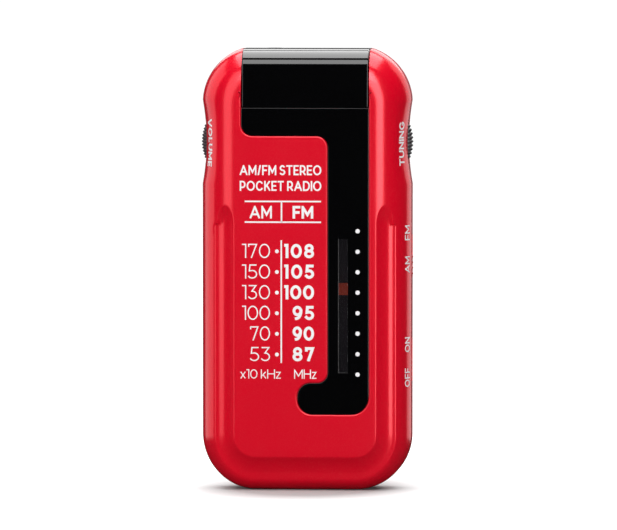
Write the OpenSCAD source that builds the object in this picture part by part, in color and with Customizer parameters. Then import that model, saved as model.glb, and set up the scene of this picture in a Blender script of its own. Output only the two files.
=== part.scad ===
// Transistor pocket radio for headphones: two-part pearl red case with a gloss black dial window and
// top cap, thumbwheels at both shoulders, slide switches on the right flank, cord-driven dial
// pointer, two AAA cells behind a sliding door and a sprung belt clip on the back.
// Frame: +Z up, the dial faces -Y, the origin is on the base under the parting plane of the case.

/* [Case] */
// Width of the case
body_w = 54.8; // [53:0.1:58]
// Height of the case
body_h = 115; // [112:0.5:120]
// Depth of the case without the belt clip
body_d = 22; // [21.6:0.1:24]
// Thickness of the case walls
wall = 1.8; // [1.5:0.1:1.9]
// Radius of the bottom corners
bottom_r = 14.5; // [12:0.5:16]
// Radius of the shoulders
shoulder_r = 15; // [13:0.5:16]
// Width of the rounded rim around the front and the back
rim_w = 9.4; // [8.8:0.1:10]
// Half width of the flat strip along the flanks
flank_flat = 1; // [0.5:0.1:2]
// Half width of the flat base
base_flat = 4.5; // [3:0.1:6]
// Depth of the thumb scoops beside the wheels
scoop_depth = 1; // [0.5:0.1:1.2]

/* [Front ledge] */
// Distance from the outline to the outer crease of the ledge
crease_in = 3.9; // [3.5:0.1:4.2]
// Distance from the outline to the foot of the sloped wall
slope_in = 6.2; // [5.6:0.1:6.6]
// Distance from the outline to the edge of the raised panel
panel_in = 8.8; // [8.2:0.1:9.2]
// Depth of the ledge below the panel
ledge_depth = 1.9; // [1.2:0.1:2]
// Height at which the ledge ends
ledge_top = 76; // [70:1:78]

/* [Dial window] */
// Half width of the black window
window_hw = 16.7; // [16:0.1:17]
// Height of the seam between the window and the top cap
window_top = 99.8; // [98:0.1:101]
// Lower edge of the wide upper block of the window
block_bottom = 92.5; // [90:0.5:95]
// Left edge of the narrow column of the window
column_left = 5.9; // [5:0.1:6.5]
// Lower edge of the window
window_bottom = 19.9; // [18:0.1:21]
// Height of the foot of the window
foot_h = 8.3; // [7:0.1:9]
// Left end of the foot of the window
foot_left = -2; // [-4:0.5:0]
// Thickness of the window
window_t = 1; // [0.8:0.1:1.2]
// Width of the smoked strip in front of the pointer
strip_w = 2.4; // [2:0.1:2.8]
// Height of the middle of the smoked strip
strip_z = 48.3; // [47:0.1:50]
// Length of the smoked strip
strip_l = 34.8; // [34:0.1:37]

/* [Thumbwheels] */
// Radius of both thumbwheels
wheel_r = 12; // [11.6:0.1:12.2]
// Thickness of the rim of a thumbwheel
wheel_t = 3.6; // [3:0.1:3.8]
// Height of the wheel axes
wheel_z = 90.8; // [90:0.1:91.5]
// How far a wheel stands out of the case
wheel_proud = 0.2; // [0:0.1:0.5]
// Teeth on the tuning wheel
tuning_teeth = 72; // [60:1:80]
// Teeth on the volume wheel
volume_teeth = 88; // [72:1:96]
// Radius of the wheel spindles
spindle_r = 1.5; // [1.2:0.1:1.8]

/* [Dial drive] */
// Radius of the cord on the drum
cord_drum_r = 8.6; // [8:0.1:8.6]
// Radius of the cord on the idler
cord_idler_r = 2; // [1.8:0.1:2.4]
// Thickness of the dial cord
cord_d = 0.5; // [0.4:0.05:0.6]
// Height of the idler
idler_z = 23.5; // [22:0.1:25]
// Height of the pointer as the radio is shown
pointer_z = 52.6; // [50:0.1:55]
// Height of the pointer blade
pointer_h = 3.1; // [2.4:0.1:3.4]

/* [Slide switches] */
// Height of the band knob in its lower, AM, position
band_z = 58.5; // [57:0.1:59]
// Height of the power knob in its lower, OFF, position
power_z = 31.4; // [30:0.1:33]
// Travel of both knobs
switch_travel = 5; // [4:0.1:5]
// Length of a knob
knob_l = 5.8; // [5:0.1:6]

/* [Batteries and clip] */
// Diameter of a AAA cell
cell_d = 10.5; // [10.3:0.1:10.5]
// Length of a AAA cell with its nub
cell_l = 44.5; // [44:0.1:44.5]
// Half width of the battery door
door_hw = 14; // [13.5:0.1:14.5]
// Upper end of the battery door
door_top = 59; // [58.6:0.1:61]
// Width of the belt clip
clip_w = 12.8; // [12:0.1:16]
// Height of the hinge of the belt clip
clip_z = 94; // [90:0.5:96]
// Free gap between the belt clip and the case
clip_gap = 4.4; // [4.3:0.1:5]
// Length of the belt clip below its hinge
clip_l = 28; // [24:1:32]

/* [Hidden] */

$fn = 48;
eps = 0.01;
half_w = body_w / 2;
half_d = body_d / 2;

// The shoulder arcs rise a little above the flat top, which the cap fills.
crown = 0.8;
outline_top = body_h + crown;
scoop_half = 11;
scoop_fade = 5;
arc_steps = 8;

// Clearances: between sliding bodies, between turning bodies, and of a shaft in its bore.
slide_gap = 0.2;
turn_gap = 0.4;
run_fit = 0.05;

// Cavity of the case behind the front panel
cavity_front = half_d - ledge_depth - 1.7;
pocket_front = half_d - 2.1;

// Top cap
cap_hw = window_hw - 0.1;
cap_t = 1.6;
cap_edge_r = 4.8;
rear_cap_z = 103;

// Pointer drive, from the left run of the cord, which is vertical
wheel_x = half_w + wheel_proud - wheel_r;
wheel_y0 = -2.6;
wheel_y1 = wheel_y0 + wheel_t;
cord_y = -4.3;
cord_x = wheel_x - cord_drum_r;
idler_x = cord_x + cord_idler_r;
run_angle = 2 * atan2(wheel_z - idler_z, wheel_x - idler_x) - 180;
drum_floor_r = cord_drum_r - cord_d / 2 - 0.15;
drum_flange_r = cord_drum_r + 0.35;
drum_front = -5.3;
strip_x = 10;
rail_x = cord_x - 2;
rail_y = -6.6;
rail_r = 0.6;
chassis_y0 = -3.7;
chassis_t = 0.6;

// Circuit board, behind the wheels
board_y0 = wheel_y1 + 0.6;
board_t = 1.2;
board_y1 = board_y0 + board_t;
board_bottom = 58.2;
board_top = 98.5;
spindle_end = board_y1 + 3;

// Slide switches
knob_y = -0.6;
knob_half = 1.6;
flank_in = half_w - wall;
switch_x1 = flank_in - 2.8;
switch_x0 = switch_x1 - 5.4;

// Battery bay: two cells side by side, nub up on the left and nub down on the right
cell_y = 3.9;
cell_pitch = cell_d + 0.7;
bay_hw = cell_pitch / 2 + cell_d / 2 + 0.45;
bay_wall = 1;
bay_z0 = 7;
contact_t = 0.4;
spring_l = 4.3;
bay_z1 = bay_z0 + cell_l + spring_l + 2 * contact_t;
bay_floor = cell_y - cell_d / 2 - 0.25;
door_in = half_d - 1.65;
door_low = 4.5;
nub_l = 1.2;

// Belt clip
clip_in = half_d + clip_gap;
clip_t = 1.6;
clip_pin_y = half_d + 2.4;
clip_pin_r = 1;
lug_r = 1.7;
lug_x0 = 2.6;
lug_x1 = 4.4;

// Screws
screw_r = 0.9;
screw_head_r = 1.7;
screw_seat = 7.6;
boss_r = 2.4;
case_screw_at = [[half_w - 6.9, 105.5], [half_w - 9.4, 12]];
board_screw_at = [[-19.5, 62], [-4, 75.5], [15.5, 75]];

// Ferrite rod, in front of and above the wheels
rod_y = -4.3;
rod_z = 106.6;
rod_r = 3;
rod_half = 15;

// Headphone jack
jack_x = -9;
jack_y = 4.2;
jack_r = 1.78;
jack_nozzle_r = 3;

// ---- Outline of the case: points [x, z, nx, nz] with the outward normal, anticlockwise ----

function arc_points(cx, cz, r, a0, a1) = [for (i = [0 : arc_steps])
    let (a = a0 + (a1 - a0) * i / arc_steps) [cx + r * cos(a), cz + r * sin(a), cos(a), sin(a)]];

flank_z = concat([40, 62], [for (z = [66 : 2 : 78]) z],
    [for (i = [0 : 10]) wheel_z + scoop_half * (i / 5 - 1) * 0.999]);
right_half = concat(arc_points(half_w - bottom_r, bottom_r, bottom_r, -90, 0),
    [for (z = flank_z) if (z > bottom_r && z < outline_top - shoulder_r) [half_w, z, 1, 0]],
    arc_points(half_w - shoulder_r, outline_top - shoulder_r, shoulder_r, 0, 90));
ring_n = 2 * len(right_half);
outline = concat(right_half,
    [for (i = [len(right_half) - 1 : -1 : 0]) let (p = right_half[i]) [-p[0], p[1], -p[2], p[3]]]);

function clamp01(t) = max(0, min(1, t));
function scoop(z, d) = let (t = (z - wheel_z) / scoop_half)
    scoop_depth * max(0, 1 - t * t) * clamp01(1 - d / scoop_fade);
function flat_half(nz) = flank_flat + (base_flat - flank_flat) * pow(max(0, -nz), 2);
function dome(d, width, low, high) =
    low + (high - low) * sqrt(1 - pow(1 - clamp01(d / width), 2));

// Depth of the front and of the back at a distance d inside the outline
function back_depth(d, p) = dome(d, rim_w, flat_half(p[3]), half_d);
function ledge(d) = d <= slope_in ? half_d - ledge_depth
    : half_d - ledge_depth * clamp01((panel_in - d) / (panel_in - slope_in));
function ledge_share(d, z) = let (t = (d - 5.4) / 3.3)
    d < crease_in - eps ? 0 : clamp01((ledge_top - 6 * t * t - z) / 2.5);
function front_depth(d, p) = let (s = ledge_share(d, p[1] - p[3] * d), plain = back_depth(d, p))
    plain + s * (min(plain, ledge(d)) - plain);
function cavity_depth(e, p, limit) =
    min(limit, dome(e, rim_w - wall, flat_half(p[3]), half_d - wall));

function ring(d, side, depths) = [for (i = [0 : ring_n - 1]) let (p = outline[i], z = p[1] - p[3] * d)
    [p[0] - p[2] * d - sign(p[0]) * scoop(z, d), side * depths[i], z]];

function turned(f) = [for (i = [len(f) - 1 : -1 : 0]) f[i]];

// Solid through a stack of rings, flat at both ends
module ring_stack(rings, side) {
    n = ring_n;
    last = (len(rings) - 1) * n;
    walls = [for (k = [0 : len(rings) - 2], i = [0 : n - 1])
        let (j = (i + 1) % n, a = k * n + i, b = k * n + j, c = b + n, d = a + n)
        each [[a, b, c], [a, c, d]]];
    ends = [[for (i = [n - 1 : -1 : 0]) i], [for (i = [0 : n - 1]) last + i]];
    faces = concat(walls, ends);
    polyhedron([for (r = rings) each r], side < 0 ? [for (f = faces) turned(f)] : faces);
}

rim_steps = [0, 0.3, 0.9, 1.8, 2.8, 3.9, 5, 6.2, 7.5, 8.8, rim_w];
cavity_steps = [0, 0.4, 1.2, 2.6, 4.5, rim_w - wall];

// Outside of one half, cut off flat at the parting plane
module outer_half(side) {
    rings = concat([ring(0, side, [for (p = outline) -1])],
        [for (d = rim_steps) ring(d, side,
            [for (p = outline) side < 0 ? front_depth(d, p) : back_depth(d, p)])]);
    difference() {
        ring_stack(rings, side);
        block([-half_w - 1, side < 0 ? 0 : -2, -1], [half_w + 1, side < 0 ? 2 : 0, outline_top + 1]);
    }
}

module cavity_half(side, limit) {
    rings = concat([ring(wall, side, [for (p = outline) -1])],
        [for (e = cavity_steps) if (min([for (p = outline) limit - cavity_depth(e, p, limit + 1)]) > 0)
            ring(wall + e, side, [for (p = outline) cavity_depth(e, p, limit)])],
        [ring(wall + cavity_steps[4], side, [for (p = outline) limit])]);
    ring_stack(rings, side);
}

// ---- Small helpers ----

// Flat shape in X and Z, from y0 back to y1
module upright(y0, y1) {
    translate([0, y1, 0]) rotate([90, 0, 0]) linear_extrude(y1 - y0) children();
}

// Cylinder along Y at x, z
module disc(x, z, r, y0, y1, sides = 48) {
    upright(y0, y1) translate([x, z]) circle(r, $fn = sides);
}

// Box between two corners
module block(a, b) {
    translate(a) cube(b - a);
}

// Sharp corner of a flat shape minus its round of radius r; the shape lies towards dx, dz
module corner(x, z, dx, dz, r) {
    translate([x, z]) difference() {
        translate([dx < 0 ? -r : 0, dz < 0 ? -r : 0]) square(r);
        translate([dx * r, dz * r]) circle(r);
    }
}

module toothed_disc(r, teeth, depth) {
    polygon([for (i = [0 : teeth - 1]) let (a = 360 / teeth)
        each [for (s = [[0.0, r - depth], [0.3, r], [0.7, r]])
            [s[1] * cos(a * (i + s[0])), s[1] * sin(a * (i + s[0]))]]]);
}

// Wire of square-ish section along a helix about Z, from radius r0 to r1
module spring(r0, r1, turns, length, wire_r, steps = 12) {
    n = turns * steps;
    sides = 5;
    rings = [for (i = [0 : n]) let (t = i / n, a = 360 * turns * t, r = r0 + (r1 - r0) * t)
        each [for (k = [0 : sides - 1]) let (b = 360 * k / sides, w = r + wire_r * cos(b))
            [w * cos(a), w * sin(a), t * length + wire_r * sin(b)]]];
    walls = [for (i = [0 : n - 1], k = [0 : sides - 1]) let (j = (k + 1) % sides, q = i * sides)
        each [[q + k, q + j, q + sides + j], [q + k, q + sides + j, q + sides + k]]];
    polyhedron(rings, concat(walls, [[for (k = [sides - 1 : -1 : 0]) k]],
        [[for (k = [0 : sides - 1]) n * sides + k]]));
}

// ---- Case ----

module window_outline() {
    top = window_bottom + foot_h;
    difference() {
        union() {
            translate([-window_hw, block_bottom]) square([2 * window_hw, window_top - block_bottom]);
            translate([column_left, window_bottom])
                square([window_hw - column_left, window_top - window_bottom]);
            translate([foot_left, window_bottom]) square([window_hw - foot_left, foot_h]);
            corner(column_left, block_bottom, -1, -1, 2.9);
            corner(column_left, top, -1, 1, 2.7);
        }
        corner(-window_hw, block_bottom, 1, 1, 3);
        corner(window_hw, window_bottom, -1, 1, 4.7);
        corner(foot_left, window_bottom, 1, 1, 4);
        corner(foot_left, top, 1, -1, 3.5);
    }
}

module strip_outline(gap) {
    translate([strip_x - strip_w / 2 - gap, strip_z - strip_l / 2 - gap])
        square([strip_w + 2 * gap, strip_l + 2 * gap]);
}

// Room for the wheels, the drum, the knobs and the cap, cut from both shells
module case_openings() {
    for (side = [-1, 1])
        disc(side * wheel_x, wheel_z, wheel_r + turn_gap, wheel_y0 - turn_gap, wheel_y1 + turn_gap);
    disc(wheel_x, wheel_z, drum_flange_r + 0.3, drum_front - turn_gap, wheel_y0);
    for (z = [band_z, power_z])
        block([half_w - wall - 1, knob_y - knob_half - slide_gap, z - knob_l / 2 - slide_gap],
            [half_w + 1, knob_y + knob_half + slide_gap, z + knob_l / 2 + switch_travel + slide_gap]);
}

module front_shell() {
    color("#c60424") difference() {
        union() {
            difference() {
                outer_half(-1);
                cavity_half(-1, cavity_front);
                block([-window_hw - 0.2, -pocket_front, 14], [window_hw + 0.2, -cavity_front + 1, 98]);
            }
            for (at = case_screw_at, side = [-1, 1])
                disc(side * at[0], at[1], boss_r, -cavity_front - 0.2, 0);
            for (at = board_screw_at)
                disc(at[0], at[1], 1.8, -pocket_front - 0.05, board_y0);
        }
        upright(-half_d - 1, -half_d + window_t + 0.1) window_outline();
        upright(-half_d, -cavity_front) strip_outline(0.2);
        block([-window_hw, -half_d - 1, window_top], [window_hw, 1, body_h + 2]);
        block([-half_w, -half_d, body_h], [half_w, 1, body_h + 2]);
        case_openings();
        for (at = case_screw_at, side = [-1, 1]) disc(side * at[0], at[1], screw_r, -6, 1);
        for (at = board_screw_at) disc(at[0], at[1], 0.8, -4, board_y0 + 1);
    }
}

module back_shell() {
    lip = door_hw + 0.9;
    color("#c60424") difference() {
        union() {
            difference() {
                outer_half(1);
                cavity_half(1, half_d - wall);
            }
            block([-bay_hw - bay_wall, bay_floor - bay_wall, bay_z0 - bay_wall],
                [bay_hw + bay_wall, half_d - wall + 0.1, bay_z1 + bay_wall]);
            intersection() {
                for (at = case_screw_at, side = [-1, 1]) disc(side * at[0], at[1], boss_r, 0, half_d);
                outer_half(1);
            }
            for (side = [-1, 1]) {
                x0 = side < 0 ? -lug_x1 : lug_x0;
                block([x0, half_d - 0.5, clip_z - lug_r],
                    [x0 + lug_x1 - lug_x0, clip_pin_y, clip_z + lug_r]);
                translate([x0, clip_pin_y, clip_z]) rotate([0, 90, 0])
                    cylinder(lug_x1 - lug_x0, r = lug_r);
            }
        }
        block([-bay_hw, bay_floor, bay_z0], [bay_hw, half_d + 1, bay_z1]);
        block([-door_hw - slide_gap, door_in - slide_gap, -1],
            [door_hw + slide_gap, half_d + 1, door_top + slide_gap]);
        block([-lip - slide_gap, door_in - slide_gap, -1],
            [lip + slide_gap, door_in + 0.85, door_top + slide_gap]);
        block([-window_hw, -1, rear_cap_z], [window_hw, half_d + 1, body_h + 2]);
        block([-half_w, -1, body_h], [half_w, half_d, body_h + 2]);
        case_openings();
        for (at = case_screw_at, side = [-1, 1]) {
            disc(side * at[0], at[1], screw_r, -1, half_d + 1);
            disc(side * at[0], at[1], screw_head_r + 0.15, screw_seat, half_d + 1);
        }
        translate([0, clip_pin_y, clip_z]) rotate([0, 90, 0])
            cylinder(2 * lug_x1 + 1, r = clip_pin_r, center = true);
    }
}

// Side view of one half of the top cap, in Y and Z, from y0 outwards and down to z_low
module cap_profile(z_low, inset, y0) {
    front = half_d - 0.1 - inset;
    top = body_h - inset;
    r = cap_edge_r - inset;
    difference() {
        translate([y0, z_low]) square([front - y0, top - z_low]);
        corner(front, top, -1, -1, r);
    }
}

module cap_half(side, z_low) {
    translate([-cap_hw, 0, 0]) rotate([90, 0, 90]) linear_extrude(2 * cap_hw)
        mirror([side < 0 ? 1 : 0, 0]) difference() {
            cap_profile(z_low, 0, 0);
            cap_profile(z_low - 1, cap_t, -1);
        }
}

module front_cap() {
    color("#060608") cap_half(-1, window_top);
}

module rear_cap() {
    color("#060608") difference() {
        cap_half(1, rear_cap_z);
        translate([jack_x, jack_y, body_h - 3]) cylinder(4, r = jack_nozzle_r + 0.05);
    }
}

module dial_window() {
    color("#060608") upright(-half_d + 0.1, -half_d + 0.1 + window_t) difference() {
        window_outline();
        strip_outline(0);
    }
}

module window_strip() {
    color("#201e22") upright(-half_d + 0.1, -half_d + 0.1 + window_t) strip_outline(0);
}

// ---- Dial drive ----

module dial_chassis() {
    x0 = rail_x - 1.6;
    ear_top = strip_z + strip_l / 2 + 4;
    ear_low = strip_z - strip_l / 2 - 2;
    color("#18181a") difference() {
        union() {
            block([x0, chassis_y0, idler_z - 3.5], [13.4, chassis_y0 + chassis_t, ear_top]);
            for (z = [ear_low, ear_top - 1])
                block([x0, rail_y - 1.3, z], [rail_x + 1.3, chassis_y0 + chassis_t, z + 1]);
        }
        translate([rail_x, rail_y, ear_low - 1]) cylinder(ear_top - ear_low + 2, r = rail_r);
        disc(idler_x, idler_z, rail_r, chassis_y0 - 1, chassis_y0 + chassis_t + 1);
    }
}

module pointer_rail() {
    low = strip_z - strip_l / 2 - 2;
    color("silver") translate([rail_x, rail_y, low]) cylinder(strip_l + 6, r = rail_r);
}

module dial_pointer() {
    z0 = pointer_z - pointer_h / 2;
    blade_y = -half_d + window_t + 1.5;
    color("#d5351c") difference() {
        union() {
            block([rail_x - 1.2, blade_y, z0],
                [strip_x + strip_w / 2 + 0.4, blade_y + 0.6, z0 + pointer_h]);
            block([rail_x - 1.2, blade_y, z0], [rail_x + 1.2, rail_y + 1.2, z0 + pointer_h]);
            block([rail_x, rail_y, z0 + 0.6], [cord_x + 1, cord_y + 0.3, z0 + pointer_h - 0.6]);
        }
        translate([rail_x, rail_y, z0 - 1]) cylinder(pointer_h + 2, r = rail_r + run_fit);
        block([cord_x - cord_d / 2 - 0.15, cord_y - cord_d / 2 - 0.15, z0 - 1],
            [cord_x + cord_d / 2 + 0.15, cord_y + 1, z0 + pointer_h + 1]);
    }
}

// One closed loop: round the drum, straight down past the pointer, round the idler and back up
module dial_cord() {
    sides = 8;
    drum = [for (i = [0 : 16]) [wheel_x, wheel_z, cord_drum_r, run_angle + (180 - run_angle) * i / 16]];
    idler = [for (i = [0 : 8]) [idler_x, idler_z, cord_idler_r, 180 + (180 + run_angle) * i / 8]];
    route = concat(drum, idler);
    points = [for (p = route, k = [0 : sides - 1])
        let (r = p[2] + cord_d / 2 * cos(360 * k / sides))
        [p[0] + r * cos(p[3]), cord_y + cord_d / 2 * sin(360 * k / sides), p[1] + r * sin(p[3])]];
    faces = [for (i = [0 : len(route) - 1], k = [0 : sides - 1])
        let (a = i * sides, b = (i + 1) % len(route) * sides, j = (k + 1) % sides)
        each [[a + k, b + j, a + j], [a + k, b + k, b + j]]];
    color("#d8cfae") polyhedron(points, faces);
}

module idler_pin() {
    color("silver") {
        disc(idler_x, idler_z, rail_r, cord_y - 1.1, chassis_y0 + chassis_t);
        disc(idler_x, idler_z, 1.1, cord_y - 1.5, cord_y - 1.1);
    }
}

module cord_idler() {
    r0 = cord_idler_r - cord_d / 2 - 0.1;
    color("#e8e4d8") difference() {
        union() {
            disc(idler_x, idler_z, r0, cord_y - 0.75, cord_y + 0.5);
            disc(idler_x, idler_z, r0 + 1.2, cord_y - 0.75, cord_y - 0.4);
            disc(idler_x, idler_z, r0 + 1.2, cord_y + 0.4, cord_y + 0.5);
        }
        disc(idler_x, idler_z, rail_r + run_fit, cord_y - 2, cord_y + 2);
    }
}

// Thumbwheel body: toothed rim with a dished front
module thumbwheel(x, teeth) {
    upright(wheel_y0, wheel_y1) translate([x, wheel_z]) toothed_disc(wheel_r, teeth, 0.4);
}

module tuning_wheel() {
    color("#2a282c") difference() {
        union() {
            thumbwheel(wheel_x, tuning_teeth);
            disc(wheel_x, wheel_z, drum_floor_r, drum_front + 0.2, wheel_y0 + 0.1);
            disc(wheel_x, wheel_z, drum_flange_r, drum_front, cord_y - 0.5);
            disc(wheel_x, wheel_z, drum_flange_r, cord_y + 0.5, wheel_y0 + 0.1);
        }
        disc(wheel_x, wheel_z, spindle_r, drum_front - 1, wheel_y1 + 1);
        disc(wheel_x, wheel_z, 2.3, drum_front - 1, wheel_y0);
        block([wheel_x - 5.5, drum_front - 1, wheel_z + 3.4], [wheel_x + 5.5, wheel_y0 - 0.3, wheel_z + 5.8]);
    }
}

module tuning_spindle() {
    color("#c9b27a") disc(wheel_x, wheel_z, spindle_r, wheel_y0, spindle_end);
}

module wheel_screw(x) {
    color("silver") difference() {
        disc(x, wheel_z, 2, wheel_y0 - 0.9, wheel_y0);
        block([x - 1.5, wheel_y0 - 2, wheel_z - 0.2], [x + 1.5, wheel_y0 - 0.5, wheel_z + 0.2]);
        block([x - 0.2, wheel_y0 - 2, wheel_z - 1.5], [x + 0.2, wheel_y0 - 0.5, wheel_z + 1.5]);
    }
}

module tuning_screw() {
    wheel_screw(wheel_x);
}

module cord_spring() {
    color("silver") translate([wheel_x - 5, cord_y, wheel_z + 4.6]) rotate([0, 90, 0])
        spring(0.8, 0.8, 9, 10, 0.16, 10);
}

module tuning_capacitor() {
    half = 7;
    color("#e9e6da") difference() {
        block([wheel_x - half, board_y1, wheel_z - half], [wheel_x + half, board_y1 + 4.4, wheel_z + half]);
        disc(wheel_x, wheel_z, spindle_r + run_fit, 0, spindle_end + 0.2);
    }
}

module volume_wheel() {
    color("#2a282c") difference() {
        thumbwheel(-wheel_x, volume_teeth);
        disc(-wheel_x, wheel_z, spindle_r, wheel_y0 - 1, wheel_y1 + 1);
        disc(-wheel_x, wheel_z, 8.5, wheel_y0 - 1, wheel_y0 + 0.9);
    }
    color("#2a282c") difference() {
        disc(-wheel_x, wheel_z, 3, wheel_y0, wheel_y0 + 1);
        disc(-wheel_x, wheel_z, spindle_r, wheel_y0 - 1, wheel_y1 + 1);
    }
}

module volume_spindle() {
    color("#c9b27a") disc(-wheel_x, wheel_z, spindle_r, wheel_y0, spindle_end - 0.6);
}

module volume_screw() {
    wheel_screw(-wheel_x);
}

module volume_control() {
    color("#8d5a2b") difference() {
        disc(-wheel_x, wheel_z, 7, board_y1, board_y1 + 2.8);
        disc(-wheel_x, wheel_z, spindle_r + run_fit, 0, spindle_end - 0.4);
    }
}

// ---- Slide switches ----

// Ridged knob in the slot, a long plate behind the wall that keeps it in, and a stem to the switch
module knob(z, proud) {
    x0 = flank_in - 1.4;
    x1 = flank_in - 0.3;
    top = half_w + proud;
    ridge = knob_l / 7;
    color("#c60424") {
        block([x0, knob_y - knob_half, z - knob_l / 2 - switch_travel],
            [x1, knob_y + knob_half, z + knob_l / 2 + switch_travel]);
        block([x1 - eps, knob_y - knob_half, z - knob_l / 2],
            [top - 0.6, knob_y + knob_half, z + knob_l / 2]);
        for (i = [0 : 3])
            block([top - 0.7, knob_y - knob_half, z - knob_l / 2 + 2 * i * ridge],
                [top, knob_y + knob_half, z - knob_l / 2 + (2 * i + 1) * ridge]);
        block([switch_x1 - 1.4, knob_y - 0.6, z - 1], [x0 + eps, knob_y + 0.6, z + 1]);
    }
}

module slide_switch(z) {
    mid = z + switch_travel / 2;
    slot = switch_travel / 2 + 1 + slide_gap;
    color("#b9bcc0") difference() {
        block([switch_x0, knob_y - 1.8, mid - 5.6], [switch_x1, board_y0, mid + 5.6]);
        block([switch_x1 - 1.4 - slide_gap, knob_y - 0.8, mid - slot],
            [switch_x1 + 1, knob_y + 0.8, mid + slot]);
    }
}

module band_knob() {
    knob(band_z, 0.2);
}

module band_switch() {
    slide_switch(band_z);
}

module power_knob() {
    knob(power_z, -0.1);
}

module power_switch() {
    slide_switch(power_z);
}

// ---- Electronics ----

module circuit_board() {
    color("#9a6a32") difference() {
        union() {
            block([-half_w + 4.9, board_y0, board_bottom], [half_w - 4.9, board_y1, board_top]);
            block([bay_hw + bay_wall + 0.6, board_y0, 21], [half_w - 4.2, board_y1, board_bottom + 1]);
        }
        for (side = [-1, 1]) disc(side * wheel_x, wheel_z, spindle_r + 0.8, 0, board_y1 + 1);
        for (at = board_screw_at) disc(at[0], at[1], 0.9, 0, board_y1 + 1);
    }
}

module board_screws() {
    color("silver") for (at = board_screw_at) {
        disc(at[0], at[1], 0.8, -3, board_y1);
        disc(at[0], at[1], 1.6, board_y1, board_y1 + 0.8);
    }
}

module radio_chip() {
    color("#1b1b1d") block([-5, board_y1, 64.5], [5, board_y1 + 1.8, 70.5]);
}

module if_transformers() {
    color("#b9bcc0") for (z = [66, 75.5]) {
        block([-15.5, board_y1, z - 3.4], [-8.7, board_y1 + 5.2, z + 3.4]);
        disc(-12.1, z, 1.6, board_y1 + 5.2, board_y1 + 5.6);
    }
}

module board_capacitors() {
    color("#23324f") {
        for (at = [[8, 63.5], [8, 70], [13.6, 63.5]]) disc(at[0], at[1], 2.5, board_y1, board_y1 + 5.4);
        for (at = [[20, 66], [-3, 84], [3, 84]]) disc(at[0], at[1], 1.8, board_y1, board_y1 + 4.6);
    }
}

module along_x(x0, x1, r) {
    translate([x0, rod_y, rod_z]) rotate([0, 90, 0]) cylinder(x1 - x0, r = r);
}

module ferrite_rod() {
    color("#3b3a3c") along_x(-rod_half, rod_half, rod_r);
}

module antenna_coil() {
    color("#b06a36") difference() {
        along_x(-8, 6, rod_r + 0.5);
        along_x(-9, 7, rod_r);
    }
}

module rod_holders() {
    top_z = rod_z - rod_r - 0.4;
    color("#e8e4d8") for (x = [-14.7, 12.2]) difference() {
        union() {
            block([x, rod_y, top_z], [x + 2, board_y1 + 1, top_z + 2]);
            block([x, board_y1, board_top - 0.5], [x + 2, board_y1 + 1, top_z + 2]);
            intersection() {
                along_x(x, x + 2, rod_r + 0.8);
                block([x, rod_y - 6, top_z], [x + 2, rod_y + 6, rod_z + 6]);
            }
        }
        along_x(x - 1, x + 3, rod_r);
    }
}

module headphone_jack() {
    color("#141416") difference() {
        union() {
            block([jack_x - 3.1, jack_y - 2.4, board_top + 0.4],
                [jack_x + 3.1, jack_y + 3.1, body_h - cap_t - 0.7]);
            translate([jack_x, jack_y, body_h - cap_t - 1]) cylinder(cap_t + 1, r = jack_nozzle_r);
        }
        translate([jack_x, jack_y, body_h - 14]) cylinder(15, r = jack_r);
    }
}

// ---- Batteries ----

module battery_cells() {
    body = cell_l - nub_l;
    color("#c9a23a") {
        translate([-cell_pitch / 2, cell_y, bay_z0 + contact_t + spring_l]) {
            cylinder(body, r = cell_d / 2);
            translate([0, 0, body]) cylinder(nub_l, r = 1.9);
        }
        translate([cell_pitch / 2, cell_y, bay_z0 + contact_t]) {
            cylinder(nub_l, r = 1.9);
            translate([0, 0, nub_l]) cylinder(body, r = cell_d / 2);
        }
    }
}

module battery_springs() {
    wire = 0.3;
    travel = spring_l - 2 * wire;
    color("silver") {
        translate([-cell_pitch / 2, cell_y, bay_z0 + contact_t + wire]) spring(3.6, 2.2, 4, travel, wire, 14);
        translate([cell_pitch / 2, cell_y, bay_z1 - contact_t - wire]) mirror([0, 0, 1])
            spring(3.6, 2.2, 4, travel, wire, 14);
    }
}

module battery_contacts() {
    color("silver") {
        block([-bay_hw + 0.4, cell_y - 4, bay_z0], [bay_hw - 0.4, cell_y + 4, bay_z0 + contact_t]);
        for (x = [-cell_pitch / 2, cell_pitch / 2])
            block([x - 4.5, cell_y - 4, bay_z1 - contact_t], [x + 4.5, cell_y + 4, bay_z1]);
    }
}

module battery_door() {
    lip = door_hw + 0.9;
    color("#c60424") difference() {
        union() {
            intersection() {
                outer_half(1);
                block([-door_hw, door_in, door_low], [door_hw, half_d + 1, door_top]);
            }
            block([-lip, door_in, 10], [lip, door_in + 0.65, door_top]);
        }
        for (i = [0 : 5])
            block([-5, half_d - 0.4, door_top - 6 - i * 1.6], [5, half_d + 1, door_top - 5.2 - i * 1.6]);
    }
}

// ---- Belt clip ----

module belt_clip() {
    hw = clip_w / 2;
    cheek = lug_x1 + 0.3;
    tip_z = clip_z - clip_l;
    color("#141416") difference() {
        union() {
            block([-hw, clip_in, tip_z], [hw, clip_in + clip_t, clip_z + 6]);
            block([-hw, half_d + 0.6, tip_z], [hw, clip_in + eps, tip_z + 2.4]);
            for (x = [-hw, cheek]) {
                translate([x, clip_pin_y, clip_z]) rotate([0, 90, 0]) cylinder(hw - cheek, r = 1.9);
                block([x, clip_pin_y, clip_z - 1.9], [x + hw - cheek, clip_in + eps, clip_z + 1.9]);
            }
        }
        translate([0, clip_pin_y, clip_z]) rotate([0, 90, 0])
            cylinder(clip_w + 1, r = clip_pin_r + run_fit, center = true);
        for (i = [0 : 3])
            block([-hw + 1.5, clip_in + clip_t - 0.4, clip_z + 1 + i * 1.3],
                [hw - 1.5, clip_in + clip_t + 1, clip_z + 1.6 + i * 1.3]);
    }
}

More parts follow.
